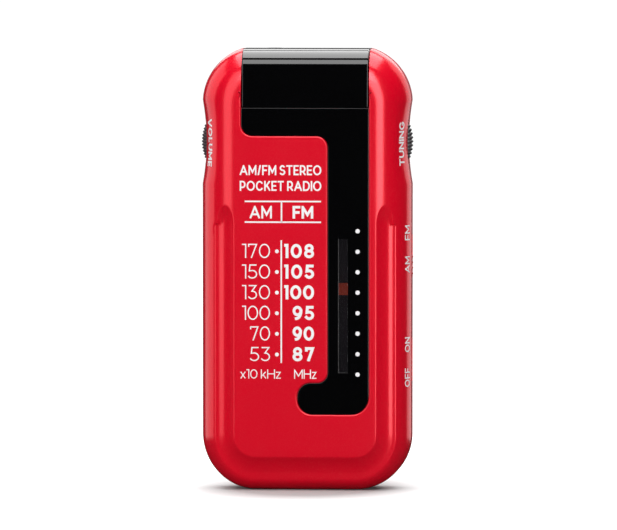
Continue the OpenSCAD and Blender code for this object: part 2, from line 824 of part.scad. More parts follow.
module clip_pin() {
    color("silver") translate([0, clip_pin_y, clip_z]) rotate([0, 90, 0])
        cylinder(clip_w, r = clip_pin_r, center = true);
}

module clip_spring() {
    color("silver") translate([-1.9, clip_pin_y, clip_z]) rotate([0, 90, 0])
        spring(1.4, 1.4, 5, 3.8, 0.22, 12);
}

module case_screws() {
    color("#55565a") for (at = case_screw_at, side = [-1, 1]) difference() {
        union() {
            disc(side * at[0], at[1], screw_r, -5, screw_seat);
            disc(side * at[0], at[1], screw_head_r, screw_seat, screw_seat + 1);
        }
        block([side * at[0] - 1.2, screw_seat + 0.5, at[1] - 0.2], [side * at[0] + 1.2, half_d, at[1] + 0.2]);
        block([side * at[0] - 0.2, screw_seat + 0.5, at[1] - 1.2], [side * at[0] + 0.2, half_d, at[1] + 1.2]);
    }
}

front_shell();
back_shell();
front_cap();
rear_cap();
dial_window();
window_strip();
dial_chassis();
pointer_rail();
dial_pointer();
dial_cord();
idler_pin();
cord_idler();
tuning_wheel();
tuning_spindle();
tuning_screw();
cord_spring();
tuning_capacitor();
volume_wheel();
volume_spindle();
volume_screw();
volume_control();
band_knob();
band_switch();
power_knob();
power_switch();
circuit_board();
board_screws();
radio_chip();
if_transformers();
board_capacitors();
ferrite_rod();
antenna_coil();
rod_holders();
headphone_jack();
battery_cells();
battery_springs();
battery_contacts();
battery_door();
belt_clip();
clip_pin();
clip_spring();
case_screws();
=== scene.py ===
"""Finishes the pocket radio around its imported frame: case, dial window, cap, prints, wheels, knobs,
battery door, belt clip, and a finish for every piece of the works inside."""

import math
from contextlib import contextmanager

import bmesh
import bpy
from bpy.props import FloatProperty, FloatVectorProperty, IntProperty, PointerProperty
from bpy.types import Operator, Panel, PropertyGroup
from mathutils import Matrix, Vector


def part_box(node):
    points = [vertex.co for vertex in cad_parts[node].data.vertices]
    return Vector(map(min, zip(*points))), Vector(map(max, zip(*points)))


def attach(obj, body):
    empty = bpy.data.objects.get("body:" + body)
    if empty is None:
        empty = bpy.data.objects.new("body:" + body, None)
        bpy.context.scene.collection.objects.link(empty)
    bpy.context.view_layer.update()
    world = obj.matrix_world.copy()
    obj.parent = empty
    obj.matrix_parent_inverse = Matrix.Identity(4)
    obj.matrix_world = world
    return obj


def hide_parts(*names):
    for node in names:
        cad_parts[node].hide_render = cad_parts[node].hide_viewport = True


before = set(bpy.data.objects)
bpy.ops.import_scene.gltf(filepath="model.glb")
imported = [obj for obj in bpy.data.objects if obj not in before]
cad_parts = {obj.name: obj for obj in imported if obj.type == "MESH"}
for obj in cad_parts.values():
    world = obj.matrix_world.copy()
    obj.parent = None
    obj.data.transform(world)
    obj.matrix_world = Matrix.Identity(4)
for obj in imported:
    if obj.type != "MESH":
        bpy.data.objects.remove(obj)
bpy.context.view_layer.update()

bl_info = {
    "name": "Pocket Radio Builder",
    "version": (1, 0, 0),
    "blender": (4, 5, 0),
    "location": "View3D > Sidebar > Radio",
    "description": "Builds the finished pieces of a pocket radio around its mechanical frame",
    "category": "Object",
}

MM = 0.001
FULLNESS = 2.17  # exponent of the rim's curve: 2 is an ellipse, more is squarer
CASE_LOW, CASE_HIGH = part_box("front_shell")
HALF_W = CASE_HIGH[0]
HALF_D = -CASE_LOW[1]
BODY_H = CASE_HIGH[2]
WHEEL_LOW, WHEEL_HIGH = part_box("tuning_wheel")
WHEEL_R = (WHEEL_HIGH[2] - WHEEL_LOW[2]) / 2
WHEEL_Z = (WHEEL_HIGH[2] + WHEEL_LOW[2]) / 2
WHEEL_X = (WHEEL_HIGH[0] + WHEEL_LOW[0]) / 2
STRIP_LOW, STRIP_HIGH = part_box("window_strip")
WINDOW_LOW, WINDOW_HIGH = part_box("dial_window")
DOOR_LOW, DOOR_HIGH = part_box("battery_door")
CLIP_LOW, CLIP_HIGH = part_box("belt_clip")
PIN_LOW, PIN_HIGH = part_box("clip_pin")
PIN_Y = (PIN_LOW[1] + PIN_HIGH[1]) / 2
PIN_Z = (PIN_LOW[2] + PIN_HIGH[2]) / 2
WHEEL_FRONT = -2.6 * MM
KNOB_NECK = 2.9 * MM
DOOR_HALF = 14 * MM


# ---- Sizes and colours that can be changed ----


def length(label, text, default):
    return FloatProperty(name=label, description=text, default=default, unit="LENGTH", precision=5)


def colour(label, text, default):
    return FloatVectorProperty(name=label, description=text, default=default, size=3, subtype="COLOR",
                               min=0.0, max=1.0)


class CaseSizes(PropertyGroup):
    rim: length("Rim width", "Width of the rounded rim round the front and back", 9.9 * MM)
    flank_flat: length("Flank flat", "Half width of the flat strip along the flanks", 1.0 * MM)
    base_flat: length("Base flat", "Half width of the flat base", 4.5 * MM)
    shoulder_r: length("Shoulder radius", "Radius of the two shoulders", 15.0 * MM)
    bottom_r: length("Bottom radius", "Radius of the two bottom corners", 14.5 * MM)
    crown: length("Crown", "Rise of the shoulder arcs above the flat top", 0.8 * MM)
    wall: length("Wall", "Thickness of the case walls", 1.8 * MM)
    crease: length("Crease", "Distance of the outer ledge crease from the outline", 3.9 * MM)
    slope: length("Slope foot", "Distance of the foot of the sloped wall from the outline", 6.2 * MM)
    panel: length("Panel edge", "Distance of the raised panel's edge from the outline", 8.8 * MM)
    ledge: length("Ledge depth", "Depth of the ledge below the panel", 1.9 * MM)
    ledge_top: length("Ledge top", "Height at which the ledge ends in an arch", 76.0 * MM)
    arch: length("Arch height", "Height of the arch that ends the ledge", 6.5 * MM)
    scoop: length("Scoop depth", "Depth of the thumb scoops beside the wheels", 1.0 * MM)
    scoop_half: length("Scoop half length", "Half the length of a thumb scoop", 11.0 * MM)
    arc_steps: IntProperty(name="Arc steps", description="Steps in each corner arc", default=26, min=6)


class DialSizes(PropertyGroup):
    block_bottom: length("Block bottom", "Lower edge of the wide block of the window", 92.5 * MM)
    column_left: length("Column left", "Left edge of the window's column", 5.9 * MM)
    foot_left: length("Foot left", "Left end of the window's foot", -2.0 * MM)
    foot_h: length("Foot height", "Height of the window's foot", 8.3 * MM)
    seam: length("Seam", "Gap between the window and its recess", 0.1 * MM)
    lip: length("Lip", "Bevel on the edge of the red recess", 0.38 * MM)
    dot: length("Dot size", "Diameter of the dots beside the pointer strip", 1.13 * MM)
    figure_h: length("Figure height", "Height of the dial figures", 3.7 * MM)
    print_t: length("Print thickness", "Thickness of the printed ink", 0.02 * MM)


class FinishColours(PropertyGroup):
    case_red: colour("Case red", "Pearl lacquer of the case", (0.78, 0.0006, 0.018))
    case_flake: colour("Flake", "Glint of the flakes in the lacquer", (0.80, 0.03, 0.04))
    black: colour("Black", "Gloss black of the window and cap", (0.0008, 0.0008, 0.0011))
    strip: colour("Smoke", "Tint of the smoked strip", (0.011, 0.010, 0.012))
    pointer: colour("Pointer", "Dial pointer", (0.80, 0.075, 0.02))
    ink: colour("Ink", "White print", (0.83, 0.82, 0.83))
    wheel: colour("Wheel", "Moulded thumbwheels", (0.028, 0.022, 0.026))
    steel: colour("Steel", "Plated steel pieces", (0.52, 0.52, 0.53))
    board: colour("Board", "Phenolic circuit board", (0.33, 0.165, 0.05))
    nylon: colour("Nylon", "Moulded ivory nylon", (0.74, 0.69, 0.57))


def case_sizes():
    return bpy.context.scene.radio_case


def dial_sizes():
    return bpy.context.scene.radio_dial


def colours():
    return bpy.context.scene.radio_colours


# ---- Mesh helpers ----


def deselect():
    if bpy.context.object and bpy.context.object.mode != "OBJECT":
        bpy.ops.object.mode_set(mode="OBJECT")
    bpy.ops.object.select_all(action="DESELECT")


def activate(piece):
    deselect()
    piece.select_set(True)
    bpy.context.view_layer.objects.active = piece


@contextmanager
def editing(piece):
    """Holds the piece in edit mode, and goes back to object mode at the end."""
    activate(piece)
    bpy.ops.object.mode_set(mode="EDIT")
    yield
    bpy.ops.object.mode_set(mode="OBJECT")


def settle(piece):
    """Leaves the object at the origin, with its place in its mesh."""
    activate(piece)
    bpy.ops.object.transform_apply(location=True, rotation=True, scale=True)


def apply_modifiers(piece):
    activate(piece)
    for modifier in list(piece.modifiers):
        bpy.ops.object.modifier_apply(modifier=modifier.name)


def add_modifier(piece, kind, **values):
    modifier = piece.modifiers.new(kind.title(), kind)
    for key, value in values.items():
        setattr(modifier, key, value)
    return modifier


def round_edges(piece, width, segments=3, angle=40):
    add_modifier(piece, "BEVEL", width=width, segments=segments, limit_method="ANGLE",
                 angle_limit=math.radians(angle), harden_normals=False)
    apply_modifiers(piece)


def smooth(piece, angle=35):
    """Smooth shading with sharp corners kept, and flat faces that shade flat beside their bevels."""
    activate(piece)
    bpy.ops.object.shade_smooth_by_angle(angle=math.radians(angle))
    add_modifier(piece, "WEIGHTED_NORMAL", weight=60, keep_sharp=True)
    apply_modifiers(piece)


def face_outwards(piece):
    """Merges points that coincide and turns every face outwards."""
    with editing(piece):
        bpy.ops.mesh.select_all(action="SELECT")
        bpy.ops.mesh.remove_doubles(threshold=0.002 * MM)
        bpy.ops.mesh.normals_make_consistent(inside=False)


def mesh_piece(name, points, faces, edges=()):
    mesh = bpy.data.meshes.new(name)
    mesh.from_pydata(points, edges, faces)
    piece = bpy.data.objects.new(name, mesh)
    bpy.context.collection.objects.link(piece)
    return piece


def swept(name, points, travel):
    """Closed solid: a flat face through the points, extruded along a travel."""
    piece = mesh_piece(name, points, [list(range(len(points)))])
    with editing(piece):
        bpy.ops.mesh.select_all(action="SELECT")
        bpy.ops.mesh.extrude_region_move(TRANSFORM_OT_translate={"value": travel})
    face_outwards(piece)
    return piece


def prism(name, outline, y0, y1):
    """Closed solid with an outline in X and Z, between the depths y0 and y1."""
    return swept(name, [(x, y0, z) for x, z in outline], (0, y1 - y0, 0))


def side_prism(name, outline, x0, x1):
    """Closed solid with an outline in Y and Z, between x0 and x1."""
    return swept(name, [(x0, y, z) for y, z in outline], (x1 - x0, 0, 0))


def block(name, low, high):
    deselect()
    size = [high[i] - low[i] for i in range(3)]
    bpy.ops.mesh.primitive_cube_add(size=1, location=[(low[i] + high[i]) / 2 for i in range(3)], scale=size)
    piece = bpy.context.object
    piece.name = name
    settle(piece)
    return piece


def cylinder(name, centre, radius, depth, turn, sides):
    deselect()
    bpy.ops.mesh.primitive_cylinder_add(vertices=sides, radius=radius, depth=depth, location=centre, rotation=turn)
    piece = bpy.context.object
    piece.name = name
    settle(piece)
    return piece


def disc(name, x, z, radius, y0, y1, sides=96):
    """Cylinder along Y."""
    return cylinder(name, (x, (y0 + y1) / 2, z), radius, y1 - y0, (math.pi / 2, 0, 0), sides)


def rod_x(name, y, z, radius, x0, x1, sides=48):
    """Cylinder along X."""
    return cylinder(name, ((x0 + x1) / 2, y, z), radius, x1 - x0, (0, math.pi / 2, 0), sides)


def combine(piece, others, operation):
    """Booleans the other solids with piece, one at a time, and removes them."""
    for other in others:
        add_modifier(piece, "BOOLEAN", object=other, operation=operation, solver="EXACT")
        apply_modifiers(piece)
        bpy.data.objects.remove(other)
    return piece


def cut(piece, others):
    return combine(piece, others, "DIFFERENCE")


def join(piece, others):
    activate(piece)
    for other in others:
        other.select_set(True)
    bpy.ops.object.join()
    return piece


def lathe(name, profile, centre, axis, steps=64):
    """Solid of revolution: profile is a list of (distance along the axis, radius)."""
    piece = mesh_piece(name, [(radius, 0, along) for along, radius in profile], [],
                       [(i, i + 1) for i in range(len(profile) - 1)])
    with editing(piece):
        bpy.ops.mesh.select_all(action="SELECT")
        bpy.ops.mesh.spin(steps=steps, angle=2 * math.pi, center=(0, 0, 0), axis=(0, 0, 1))
    if axis == "Y":
        piece.rotation_euler = (-math.pi / 2, 0, 0)
    piece.location = centre
    settle(piece)
    face_outwards(piece)
    return piece


def rounded(corners, steps=10):
    """Outline through square corners (x, z, radius), each turned into an arc."""
    outline = []
    count = len(corners)
    for i, (x, z, radius) in enumerate(corners):
        here = Vector((x, z))
        if radius <= 0:
            outline.append((x, z))
            continue
        before = (Vector(corners[i - 1][:2]) - here).normalized()
        after = (Vector(corners[(i + 1) % count][:2]) - here).normalized()
        half = before.angle(after) / 2
        reach = radius / math.tan(half)
        centre = here + (before + after).normalized() * (radius / math.sin(half))
        first = here + before * reach - centre
        last = here + after * reach - centre
        turn = math.atan2(first.x * last.y - first.y * last.x, first.dot(last))
        for k in range(steps + 1):
            a = turn * k / steps
            outline.append((centre.x + first.x * math.cos(a) - first.y * math.sin(a),
                            centre.y + first.x * math.sin(a) + first.y * math.cos(a)))
    return outline


def finish(piece, material, body, slot, *nodes):
    """Gives a piece its material and its body, and hides the nodes that it stands for. The slot is not used."""
    piece.data.materials.clear()
    piece.data.materials.append(material_of(material))
    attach(piece, body)
    if nodes:
        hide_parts(*nodes)
    return piece


# ---- Shader groups and materials ----


def node(tree, kind, **values):
    made = tree.nodes.new(kind)
    for key, value in values.items():
        if key == "inputs":
            for name, setting in value.items():
                made.inputs[name].default_value = setting
        else:
            setattr(made, key, value)
    return made


def shared_group(name, build, inputs, outputs):
    """The node group of that name, made at its first use from its sockets and a function that fills it."""
    if name not in bpy.data.node_groups:
        group = bpy.data.node_groups.new(name, "ShaderNodeTree")
        for socket, (kind, default) in inputs.items():
            group.interface.new_socket(name=socket, in_out="INPUT", socket_type=kind).default_value = default
        for socket in outputs:
            group.interface.new_socket(name=socket, in_out="OUTPUT", socket_type="NodeSocketFloat")
        ins, outs = node(group, "NodeGroupInput"), node(group, "NodeGroupOutput")
        build(group, ins.outputs, outs.inputs, node(group, "ShaderNodeTexCoord").outputs["Object"],
              group.links.new)
    return bpy.data.node_groups[name]


def moulded_grain():
    """Fine grain and faint handling marks: a height, a fine mask and a broad mask."""

    def build(group, ins, outs, place, link):
        fine = node(group, "ShaderNodeTexNoise", inputs={"Detail": 2.0, "Roughness": 0.6})
        broad = node(group, "ShaderNodeTexNoise", inputs={"Detail": 5.0, "Roughness": 0.62, "Distortion": 0.4})
        ramp = node(group, "ShaderNodeMapRange", inputs={"From Min": 0.42, "From Max": 0.7})
        for noise, scale in ((fine, "Fine Scale"), (broad, "Broad Scale")):
            link(place, noise.inputs["Vector"])
            link(ins[scale], noise.inputs["Scale"])
        link(fine.outputs["Fac"], outs["Height"])
        link(fine.outputs["Fac"], outs["Fine"])
        link(broad.outputs["Fac"], ramp.inputs["Value"])
        link(ramp.outputs["Result"], outs["Broad"])

    sizes = {"Fine Scale": ("NodeSocketFloat", 4000.0), "Broad Scale": ("NodeSocketFloat", 60.0)}
    return shared_group("moulded_grain", build, sizes, ("Height", "Fine", "Broad"))


def pearl_flake():
    """Bright flakes scattered in a lacquer: a mask of glints of random brightness."""

    def build(group, ins, outs, place, link):
        cells = node(group, "ShaderNodeTexVoronoi")
        split = node(group, "ShaderNodeSeparateColor")
        power = node(group, "ShaderNodeMath", operation="POWER")
        power.inputs[1].default_value = 3.0
        link(place, cells.inputs["Vector"])
        link(ins["Scale"], cells.inputs["Scale"])
        link(cells.outputs["Color"], split.inputs["Color"])
        link(split.outputs["Red"], power.inputs[0])
        link(power.outputs["Value"], outs["Glint"])

    return shared_group("pearl_flake", build, {"Scale": ("NodeSocketFloat", 4500.0)}, ("Glint",))


def brushed_lines():
    """Fine drawn or turned lines along one direction."""

    def build(group, ins, outs, place, link):
        scale = node(group, "ShaderNodeVectorMath", operation="MULTIPLY")
        noise = node(group, "ShaderNodeTexNoise", inputs={"Scale": 1.0, "Detail": 3.0})
        link(place, scale.inputs[0])
        link(ins["Stretch"], scale.inputs[1])
        link(scale.outputs["Vector"], noise.inputs["Vector"])
        link(noise.outputs["Fac"], outs["Lines"])

    return shared_group("brushed_lines", build, {"Stretch": ("NodeSocketVector", (400.0, 400.0, 9000.0))},
                        ("Lines",))


def shades(tree, mask, low, high, amount=1.0):
    """A colour that goes from low to high with the mask."""
    mix = node(tree, "ShaderNodeMix", data_type="RGBA")
    mix.inputs[6].default_value = (*low, 1.0)
    mix.inputs[7].default_value = (*high, 1.0)
    if amount != 1.0:
        scaled = node(tree, "ShaderNodeMath", operation="MULTIPLY")
        scaled.inputs[1].default_value = amount
        tree.links.new(mask, scaled.inputs[0])
        mask = scaled.outputs["Value"]
    tree.links.new(mask, mix.inputs[0])
    return mix.outputs[2]


def spread(tree, mask, low, high):
    """A value that goes from low to high with the mask."""
    ramp = node(tree, "ShaderNodeMapRange", inputs={"To Min": low, "To Max": high})
    tree.links.new(mask, ramp.inputs["Value"])
    return ramp.outputs["Result"]


def tint(tree, shader, mask, low, high, amount=1.0):
    tree.links.new(shades(tree, mask, low, high, amount), shader.inputs["Base Color"])


def gloss(tree, shader, mask, low, high):
    tree.links.new(spread(tree, mask, low, high), shader.inputs["Roughness"])


def bump(tree, shader, height, distance):
    made = node(tree, "ShaderNodeBump", inputs={"Strength": 1.0, "Distance": distance})
    tree.links.new(height, made.inputs["Height"])
    tree.links.new(made.outputs["Normal"], shader.inputs["Normal"])


def new_material(name, **sockets):
    material = bpy.data.materials.new(name)
    material.use_nodes = True
    tree = material.node_tree
    shader = tree.nodes["Principled BSDF"]
    for key, value in sockets.items():
        shader.inputs[key.replace("_", " ")].default_value = value
    return material, tree, shader


def place_group(tree, group, **values):
    made = tree.nodes.new("ShaderNodeGroup")
    made.node_tree = group
    for key, value in values.items():
        made.inputs[key.replace("_", " ")].default_value = value
    return made


def grain_of(tree, fine, broad):
    return place_group(tree, moulded_grain(), Fine_Scale=fine, Broad_Scale=broad)


def darker(tone, factor):
    return tuple(c * factor for c in tone)


def pearl_red(name="pearl_red_lacquer"):
    tone, flake = tuple(colours().case_red), tuple(colours().case_flake)
    material, tree, shader = new_material(name, Metallic=0.25, Roughness=0.22, Coat_Weight=0.3,
                                          Coat_Roughness=0.11)
    glints = place_group(tree, pearl_flake(), Scale=5200.0)
    grain = grain_of(tree, 2600.0, 45.0)
    tint(tree, shader, glints.outputs["Glint"], tone, flake, 0.3)
    gloss(tree, shader, grain.outputs["Broad"], 0.20, 0.24)
    bump(tree, shader, grain.outputs["Height"], 0.004 * MM)
    return material


def plain_plastic(name, tone, rough, grain_scale, depth, coat=0.0, coat_rough=0.05, contrast=0.85):
    """Moulded plastic with a fine grain, uneven gloss and a slight drift of tone."""
    material, tree, shader = new_material(name, Roughness=rough, Coat_Weight=coat, Coat_Roughness=coat_rough)
    grain = grain_of(tree, grain_scale, 70.0)
    tint(tree, shader, grain.outputs["Broad"], darker(tone, contrast), tone)
    gloss(tree, shader, grain.outputs["Fine"], rough * 0.85, min(1.0, rough * 1.2))
    bump(tree, shader, grain.outputs["Height"], depth)
    return material


def plated_metal(name, tone, rough, stretch=(500.0, 500.0, 7000.0), depth=0.003 * MM):
    """Metal with fine drawn lines and a slight tarnish."""
    material, tree, shader = new_material(name, Metallic=1.0, Roughness=rough)
    lines = place_group(tree, brushed_lines(), Stretch=stretch)
    grain = grain_of(tree, 1500.0, 120.0)
    tint(tree, shader, grain.outputs["Broad"], tone, darker(tone, 0.78))
    gloss(tree, shader, lines.outputs["Lines"], rough * 0.7, rough * 1.4)
    bump(tree, shader, lines.outputs["Lines"], depth)
    return material


def smoked_acrylic():
    """Dark tinted strip that the light passes straight through, so that the pointer shows."""
    material, tree, shader = new_material("smoked_acrylic", IOR=1.49, Alpha=0.5)
    tone = tuple(colours().strip)
    grain = grain_of(tree, 900.0, 30.0)
    tint(tree, shader, grain.outputs["Broad"], darker(tone, 0.9), tone)
    gloss(tree, shader, grain.outputs["Broad"], 0.08, 0.14)
    return material


def pointer_paint_and_glow():
    """Red paint with a painted glow: the pointer gives off a little light of its own, though it is no lamp, so that
    it reads through the smoked strip.
    """
    material = plain_plastic("pointer_red", tuple(colours().pointer), 0.5, 3000.0, 0.005 * MM)
    shader = material.node_tree.nodes["Principled BSDF"]
    # Painted glow: a faint emission, so that the pointer shines though it is no lamp.
    shader.inputs["Emission Color"].default_value = (0.9, 0.10, 0.03, 1.0)
    shader.inputs["Emission Strength"].default_value = 0.25
    return material


def white_ink():
    tone = tuple(colours().ink)
    material, tree, shader = new_material("white_ink", Roughness=0.5)
    grain = grain_of(tree, 5000.0, 300.0)
    tint(tree, shader, grain.outputs["Fine"], darker(tone, 0.9), tone)
    gloss(tree, shader, grain.outputs["Fine"], 0.42, 0.6)
    return material


def board_resin():
    """Brown phenolic board with the ghost of its copper tracks under the lacquer."""
    tone = tuple(colours().board)
    material, tree, shader = new_material("phenolic_board", Roughness=0.45, Coat_Weight=0.3)
    place = node(tree, "ShaderNodeTexCoord")
    tracks = node(tree, "ShaderNodeTexVoronoi", feature="DISTANCE_TO_EDGE", distance="MANHATTAN",
                  inputs={"Scale": 260.0, "Randomness": 0.75})
    edge = node(tree, "ShaderNodeMapRange", inputs={"From Min": 0.05, "From Max": 0.09})
    tree.links.new(place.outputs["Object"], tracks.inputs["Vector"])
    tree.links.new(tracks.outputs["Distance"], edge.inputs["Value"])
    tint(tree, shader, edge.outputs["Result"], (0.42, 0.27, 0.09), tone)
    grain = grain_of(tree, 1800.0, 90.0)
    gloss(tree, shader, grain.outputs["Fine"], 0.38, 0.55)
    bump(tree, shader, edge.outputs["Result"], 0.02 * MM)
    return material


def wound_wire(name, tone, pitch, axis):
    """Turns of wire or the plait of a cord, side by side along one axis, with painted shade darkening the grooves
    between them.
    """
    material, tree, shader = new_material(name, Roughness=0.38, Coat_Weight=0.2)
    place = node(tree, "ShaderNodeTexCoord")
    bands = node(tree, "ShaderNodeTexWave", wave_type="BANDS", bands_direction=axis,
                 inputs={"Scale": 0.314 / pitch, "Distortion": 0.15})
    tree.links.new(place.outputs["Object"], bands.inputs["Vector"])
    # Painted shade: the colour darkens to about a third in the grooves between the turns.
    tint(tree, shader, bands.outputs["Fac"], darker(tone, 0.35), tone)
    grain = grain_of(tree, 2500.0, 200.0)
    gloss(tree, shader, grain.outputs["Fine"], 0.3, 0.5)
    bump(tree, shader, bands.outputs["Fac"], pitch * 0.3)
    return material


def cell_sleeve():
    """Battery sleeve: a copper-gold band over a black barrel, by height along the cell."""
    material, tree, shader = new_material("cell_sleeve", Roughness=0.3, Coat_Weight=0.6, Metallic=0.3)
    place = node(tree, "ShaderNodeTexCoord")
    split = node(tree, "ShaderNodeSeparateXYZ")
    tree.links.new(place.outputs["Object"], split.inputs["Vector"])
    band = node(tree, "ShaderNodeMapRange", inputs={"From Min": 38 * MM, "From Max": 38.1 * MM})
    tree.links.new(split.outputs["Z"], band.inputs["Value"])
    tint(tree, shader, band.outputs["Result"], (0.012, 0.012, 0.014), (0.62, 0.27, 0.06))
    grain = grain_of(tree, 2200.0, 80.0)
    gloss(tree, shader, grain.outputs["Broad"], 0.25, 0.36)
    return material


MATERIALS = {}


def material_of(name):
    """The material of that name, made at its first use."""
    tones = colours()
    black, wheel, nylon, steel = tones.black, tones.wheel, tones.nylon, tones.steel
    plastics = {
        "red_knob": ("satin_red_knob", (0.50, 0.010, 0.022), 0.42, 2400.0, 0.006 * MM, 0.2, 0.3),
        "gloss_black": ("gloss_black", black, 0.07, 700.0, 0.0004 * MM, 1.0, 0.03),
        "bay_red": ("raw_red_moulding", (0.36, 0.008, 0.016), 0.55, 1500.0, 0.012 * MM),
        "wheel": ("wheel_black", wheel, 0.26, 2600.0, 0.004 * MM, 0.4, 0.12),
        "clip": ("clip_black", (0.014, 0.014, 0.015), 0.42, 1700.0, 0.02 * MM),
        "matte_black": ("matte_black", (0.016, 0.016, 0.017), 0.55, 2000.0, 0.012 * MM),
        "chassis": ("chassis_paint", (0.012, 0.012, 0.013), 0.6, 3000.0, 0.006 * MM),
        "nylon": ("ivory_nylon", nylon, 0.5, 2000.0, 0.008 * MM),
        "sleeve": ("blue_sleeve", (0.018, 0.035, 0.11), 0.3, 2600.0, 0.004 * MM, 0.4),
        "ferrite": ("sintered_ferrite", (0.045, 0.043, 0.045), 0.62, 1300.0, 0.03 * MM),
    }
    metals = {
        "steel": ("plated_steel", steel, 0.28),
        "can": ("screening_can", (0.60, 0.60, 0.61), 0.34),
        "brass": ("turned_brass", (0.58, 0.41, 0.16), 0.3, (300.0, 7000.0, 300.0)),
    }
    windings = {
        "wire": ("litz_winding", (0.55, 0.20, 0.075), 0.25 * MM, "X"),
        "cord": ("waxed_cord", (0.60, 0.53, 0.36), 0.35 * MM, "Z"),
    }
    others = {"pearl_red": pearl_red, "smoke": smoked_acrylic, "ink": white_ink, "pointer": pointer_paint_and_glow,
              "board": board_resin, "cell": cell_sleeve}
    if name not in MATERIALS:
        for table, maker in ((plastics, plain_plastic), (metals, plated_metal), (windings, wound_wire)):
            if name in table:
                MATERIALS[name] = maker(*table[name])
        if name in others:
            MATERIALS[name] = others[name]()
    return MATERIALS[name]


# ---- The form of the case ----


def case_outline():
    """Points (x, z, nx, nz) round the case with their outward normals, anticlockwise."""
    s = case_sizes()
    steps = s.arc_steps
    top = BODY_H + s.crown
    half = []
    for i in range(steps + 1):
        a = -math.pi / 2 + math.pi / 2 * i / steps
        half.append((HALF_W - s.bottom_r + s.bottom_r * math.cos(a), s.bottom_r + s.bottom_r * math.sin(a),
                     math.cos(a), math.sin(a)))
    heights = [z * MM for z in range(18, 60, 4)]
    heights += [s.ledge_top - s.arch - 3 * MM + 0.35 * MM * i for i in range(30)]
    heights += [WHEEL_Z + s.scoop_half * (i / 14 - 1) for i in range(29)]
    for z in sorted(heights):
        if z < top - s.shoulder_r - 0.3 * MM and z > half[-1][1] + 0.2 * MM:
            half.append((HALF_W, z, 1.0, 0.0))
    for i in range(steps + 1):
        a = math.pi / 2 * i / steps
        half.append((HALF_W - s.shoulder_r + s.shoulder_r * math.cos(a),
                     top - s.shoulder_r + s.shoulder_r * math.sin(a), math.cos(a), math.sin(a)))
    return half + [(-x, z, -nx, nz) for x, z, nx, nz in reversed(half)]


def scoop_at(z, d):
    s = case_sizes()
    t = (z - WHEEL_Z) / s.scoop_half
    fade = max(0.0, 1 - d / (5 * MM))
    return s.scoop * max(0.0, 1 - t * t) * fade * fade * (3 - 2 * fade)


def dome(d, width, low, high):
    """Height of a rounded rim, a little fuller than an ellipse, at a distance d inside its edge."""
    share = min(max(d / width, 0.0), 1.0)
    return low + (high - low) * (1 - (1 - share) ** FULLNESS) ** (1 / FULLNESS)


def flat_half(nz):
    s = case_sizes()
    return s.flank_flat + (s.base_flat - s.flank_flat) * max(0.0, -nz) ** 2


def soft_min(a, b, radius):
    """The lower of two heights, with the corner between them rounded."""
    h = min(max(0.5 + 0.5 * (b - a) / radius, 0.0), 1.0)
    return b + (a - b) * h - radius * h * (1 - h)


def groove_reach(d, z):
    """How far a place lies inside the edge of the ledge's groove: the panel edge below, an arch on top."""
    s = case_sizes()
    spring = s.ledge_top - s.arch
    if z <= spring:
        return s.panel - d
    across = (s.panel - 5.3 * MM) if d > 5.3 * MM else 1.9 * MM
    rho = math.hypot((d - 5.3 * MM) / across, (z - spring) / s.arch)
    return (1 - rho) * (s.panel - 5.3 * MM)


def front_depth(d, z, nz):
    """Distance of the front surface from the parting plane."""
    s = case_sizes()
    plain = dome(d, s.rim, flat_half(nz), HALF_D)
    ledge = HALF_D - s.ledge
    reach = groove_reach(d, z)
    edge = 0.3 * MM
    corner = 0.32 * MM * min(1.0, (HALF_D - plain) / s.ledge) ** 2
    if reach <= -edge or plain <= ledge - corner or corner < 1e-9:
        return plain
    fall = s.ledge / (s.panel - s.slope)
    wall = HALF_D - soft_min(reach * fall, s.ledge, 1.4 * MM)
    if reach < edge:
        wall = HALF_D - fall * (reach + edge) ** 2 / (4 * edge)
    return soft_min(plain, max(wall, ledge), corner)


def back_depth(d, z, nz):
    return dome(d, case_sizes().rim, flat_half(nz), HALF_D)


def case_ring(outline, d, side, depth):
    """One closed ring of points at a distance d inside the outline."""
    ring = []
    for x, z, nx, nz in outline:
        pz = z - nz * d
        px = x - nx * d - math.copysign(scoop_at(pz, d), x)
        ring.append((px, side * depth(d, pz, nz), pz))
    return ring


def loft(name, rings):
    """Closed solid through rings of equal length, with a flat face at each end."""
    count = len(rings[0])
    points = [p for ring in rings for p in ring]
    faces = [list(range(count)), [len(points) - count + i for i in reversed(range(count))]]
    for k in range(len(rings) - 1):
        a = k * count
        b = a + count
        for i in range(count):
            j = (i + 1) % count
            faces.append([a + i, b + i, b + j, a + j])
    piece = mesh_piece(name, points, faces)
    face_outwards(piece)
    return piece


def rim_distances(fine):
    """Distances inside the outline, close together where the surface turns."""
    s = case_sizes()
    turns = [s.rim * (1 - math.cos(math.pi / 2 * i / 22)) for i in range(23)]
    start = s.crease - 0.5 * MM
    ledge = [start + 0.14 * MM * i for i in range(int((s.panel + 0.4 * MM - start) / (0.14 * MM)))]
    steps = sorted(turns + (ledge if fine else []))
    kept = [0.0]
    for d in steps:
        if d - kept[-1] > 0.07 * MM or (d - kept[-1] > 0.001 * MM and kept[-1] == 0.0):
            kept.append(d)
    if s.rim - kept[-1] < 0.15 * MM:
        kept[-1] = s.rim
    else:
        kept.append(s.rim)
    return kept


def half_case(name, side):
    """One half of the case as a closed thin-walled solid, from the cavity out to the surface."""
    s = case_sizes()
    outline = case_outline()
    surface = front_depth if side < 0 else back_depth
    limit = HALF_D - s.ledge - 1.7 * MM if side < 0 else HALF_D - s.wall

    def cavity(d, z, nz):
        return min(limit, dome(d - s.wall, s.rim - s.wall, flat_half(nz), HALF_D - s.wall))

    rings = [case_ring(outline, s.wall + e * MM, side, cavity) for e in (6.5, 4.5, 2.6, 1.2, 0.4, 0)]
    if side < 0:
        rings = rings[2:]
    rings.append(case_ring(outline, s.wall, side, lambda d, z, nz: 0.0))
    rings.append(case_ring(outline, 0.0, side, lambda d, z, nz: 0.0))
    rings += [case_ring(outline, d, side, surface) for d in rim_distances(side < 0)]
    return loft(name, rings)


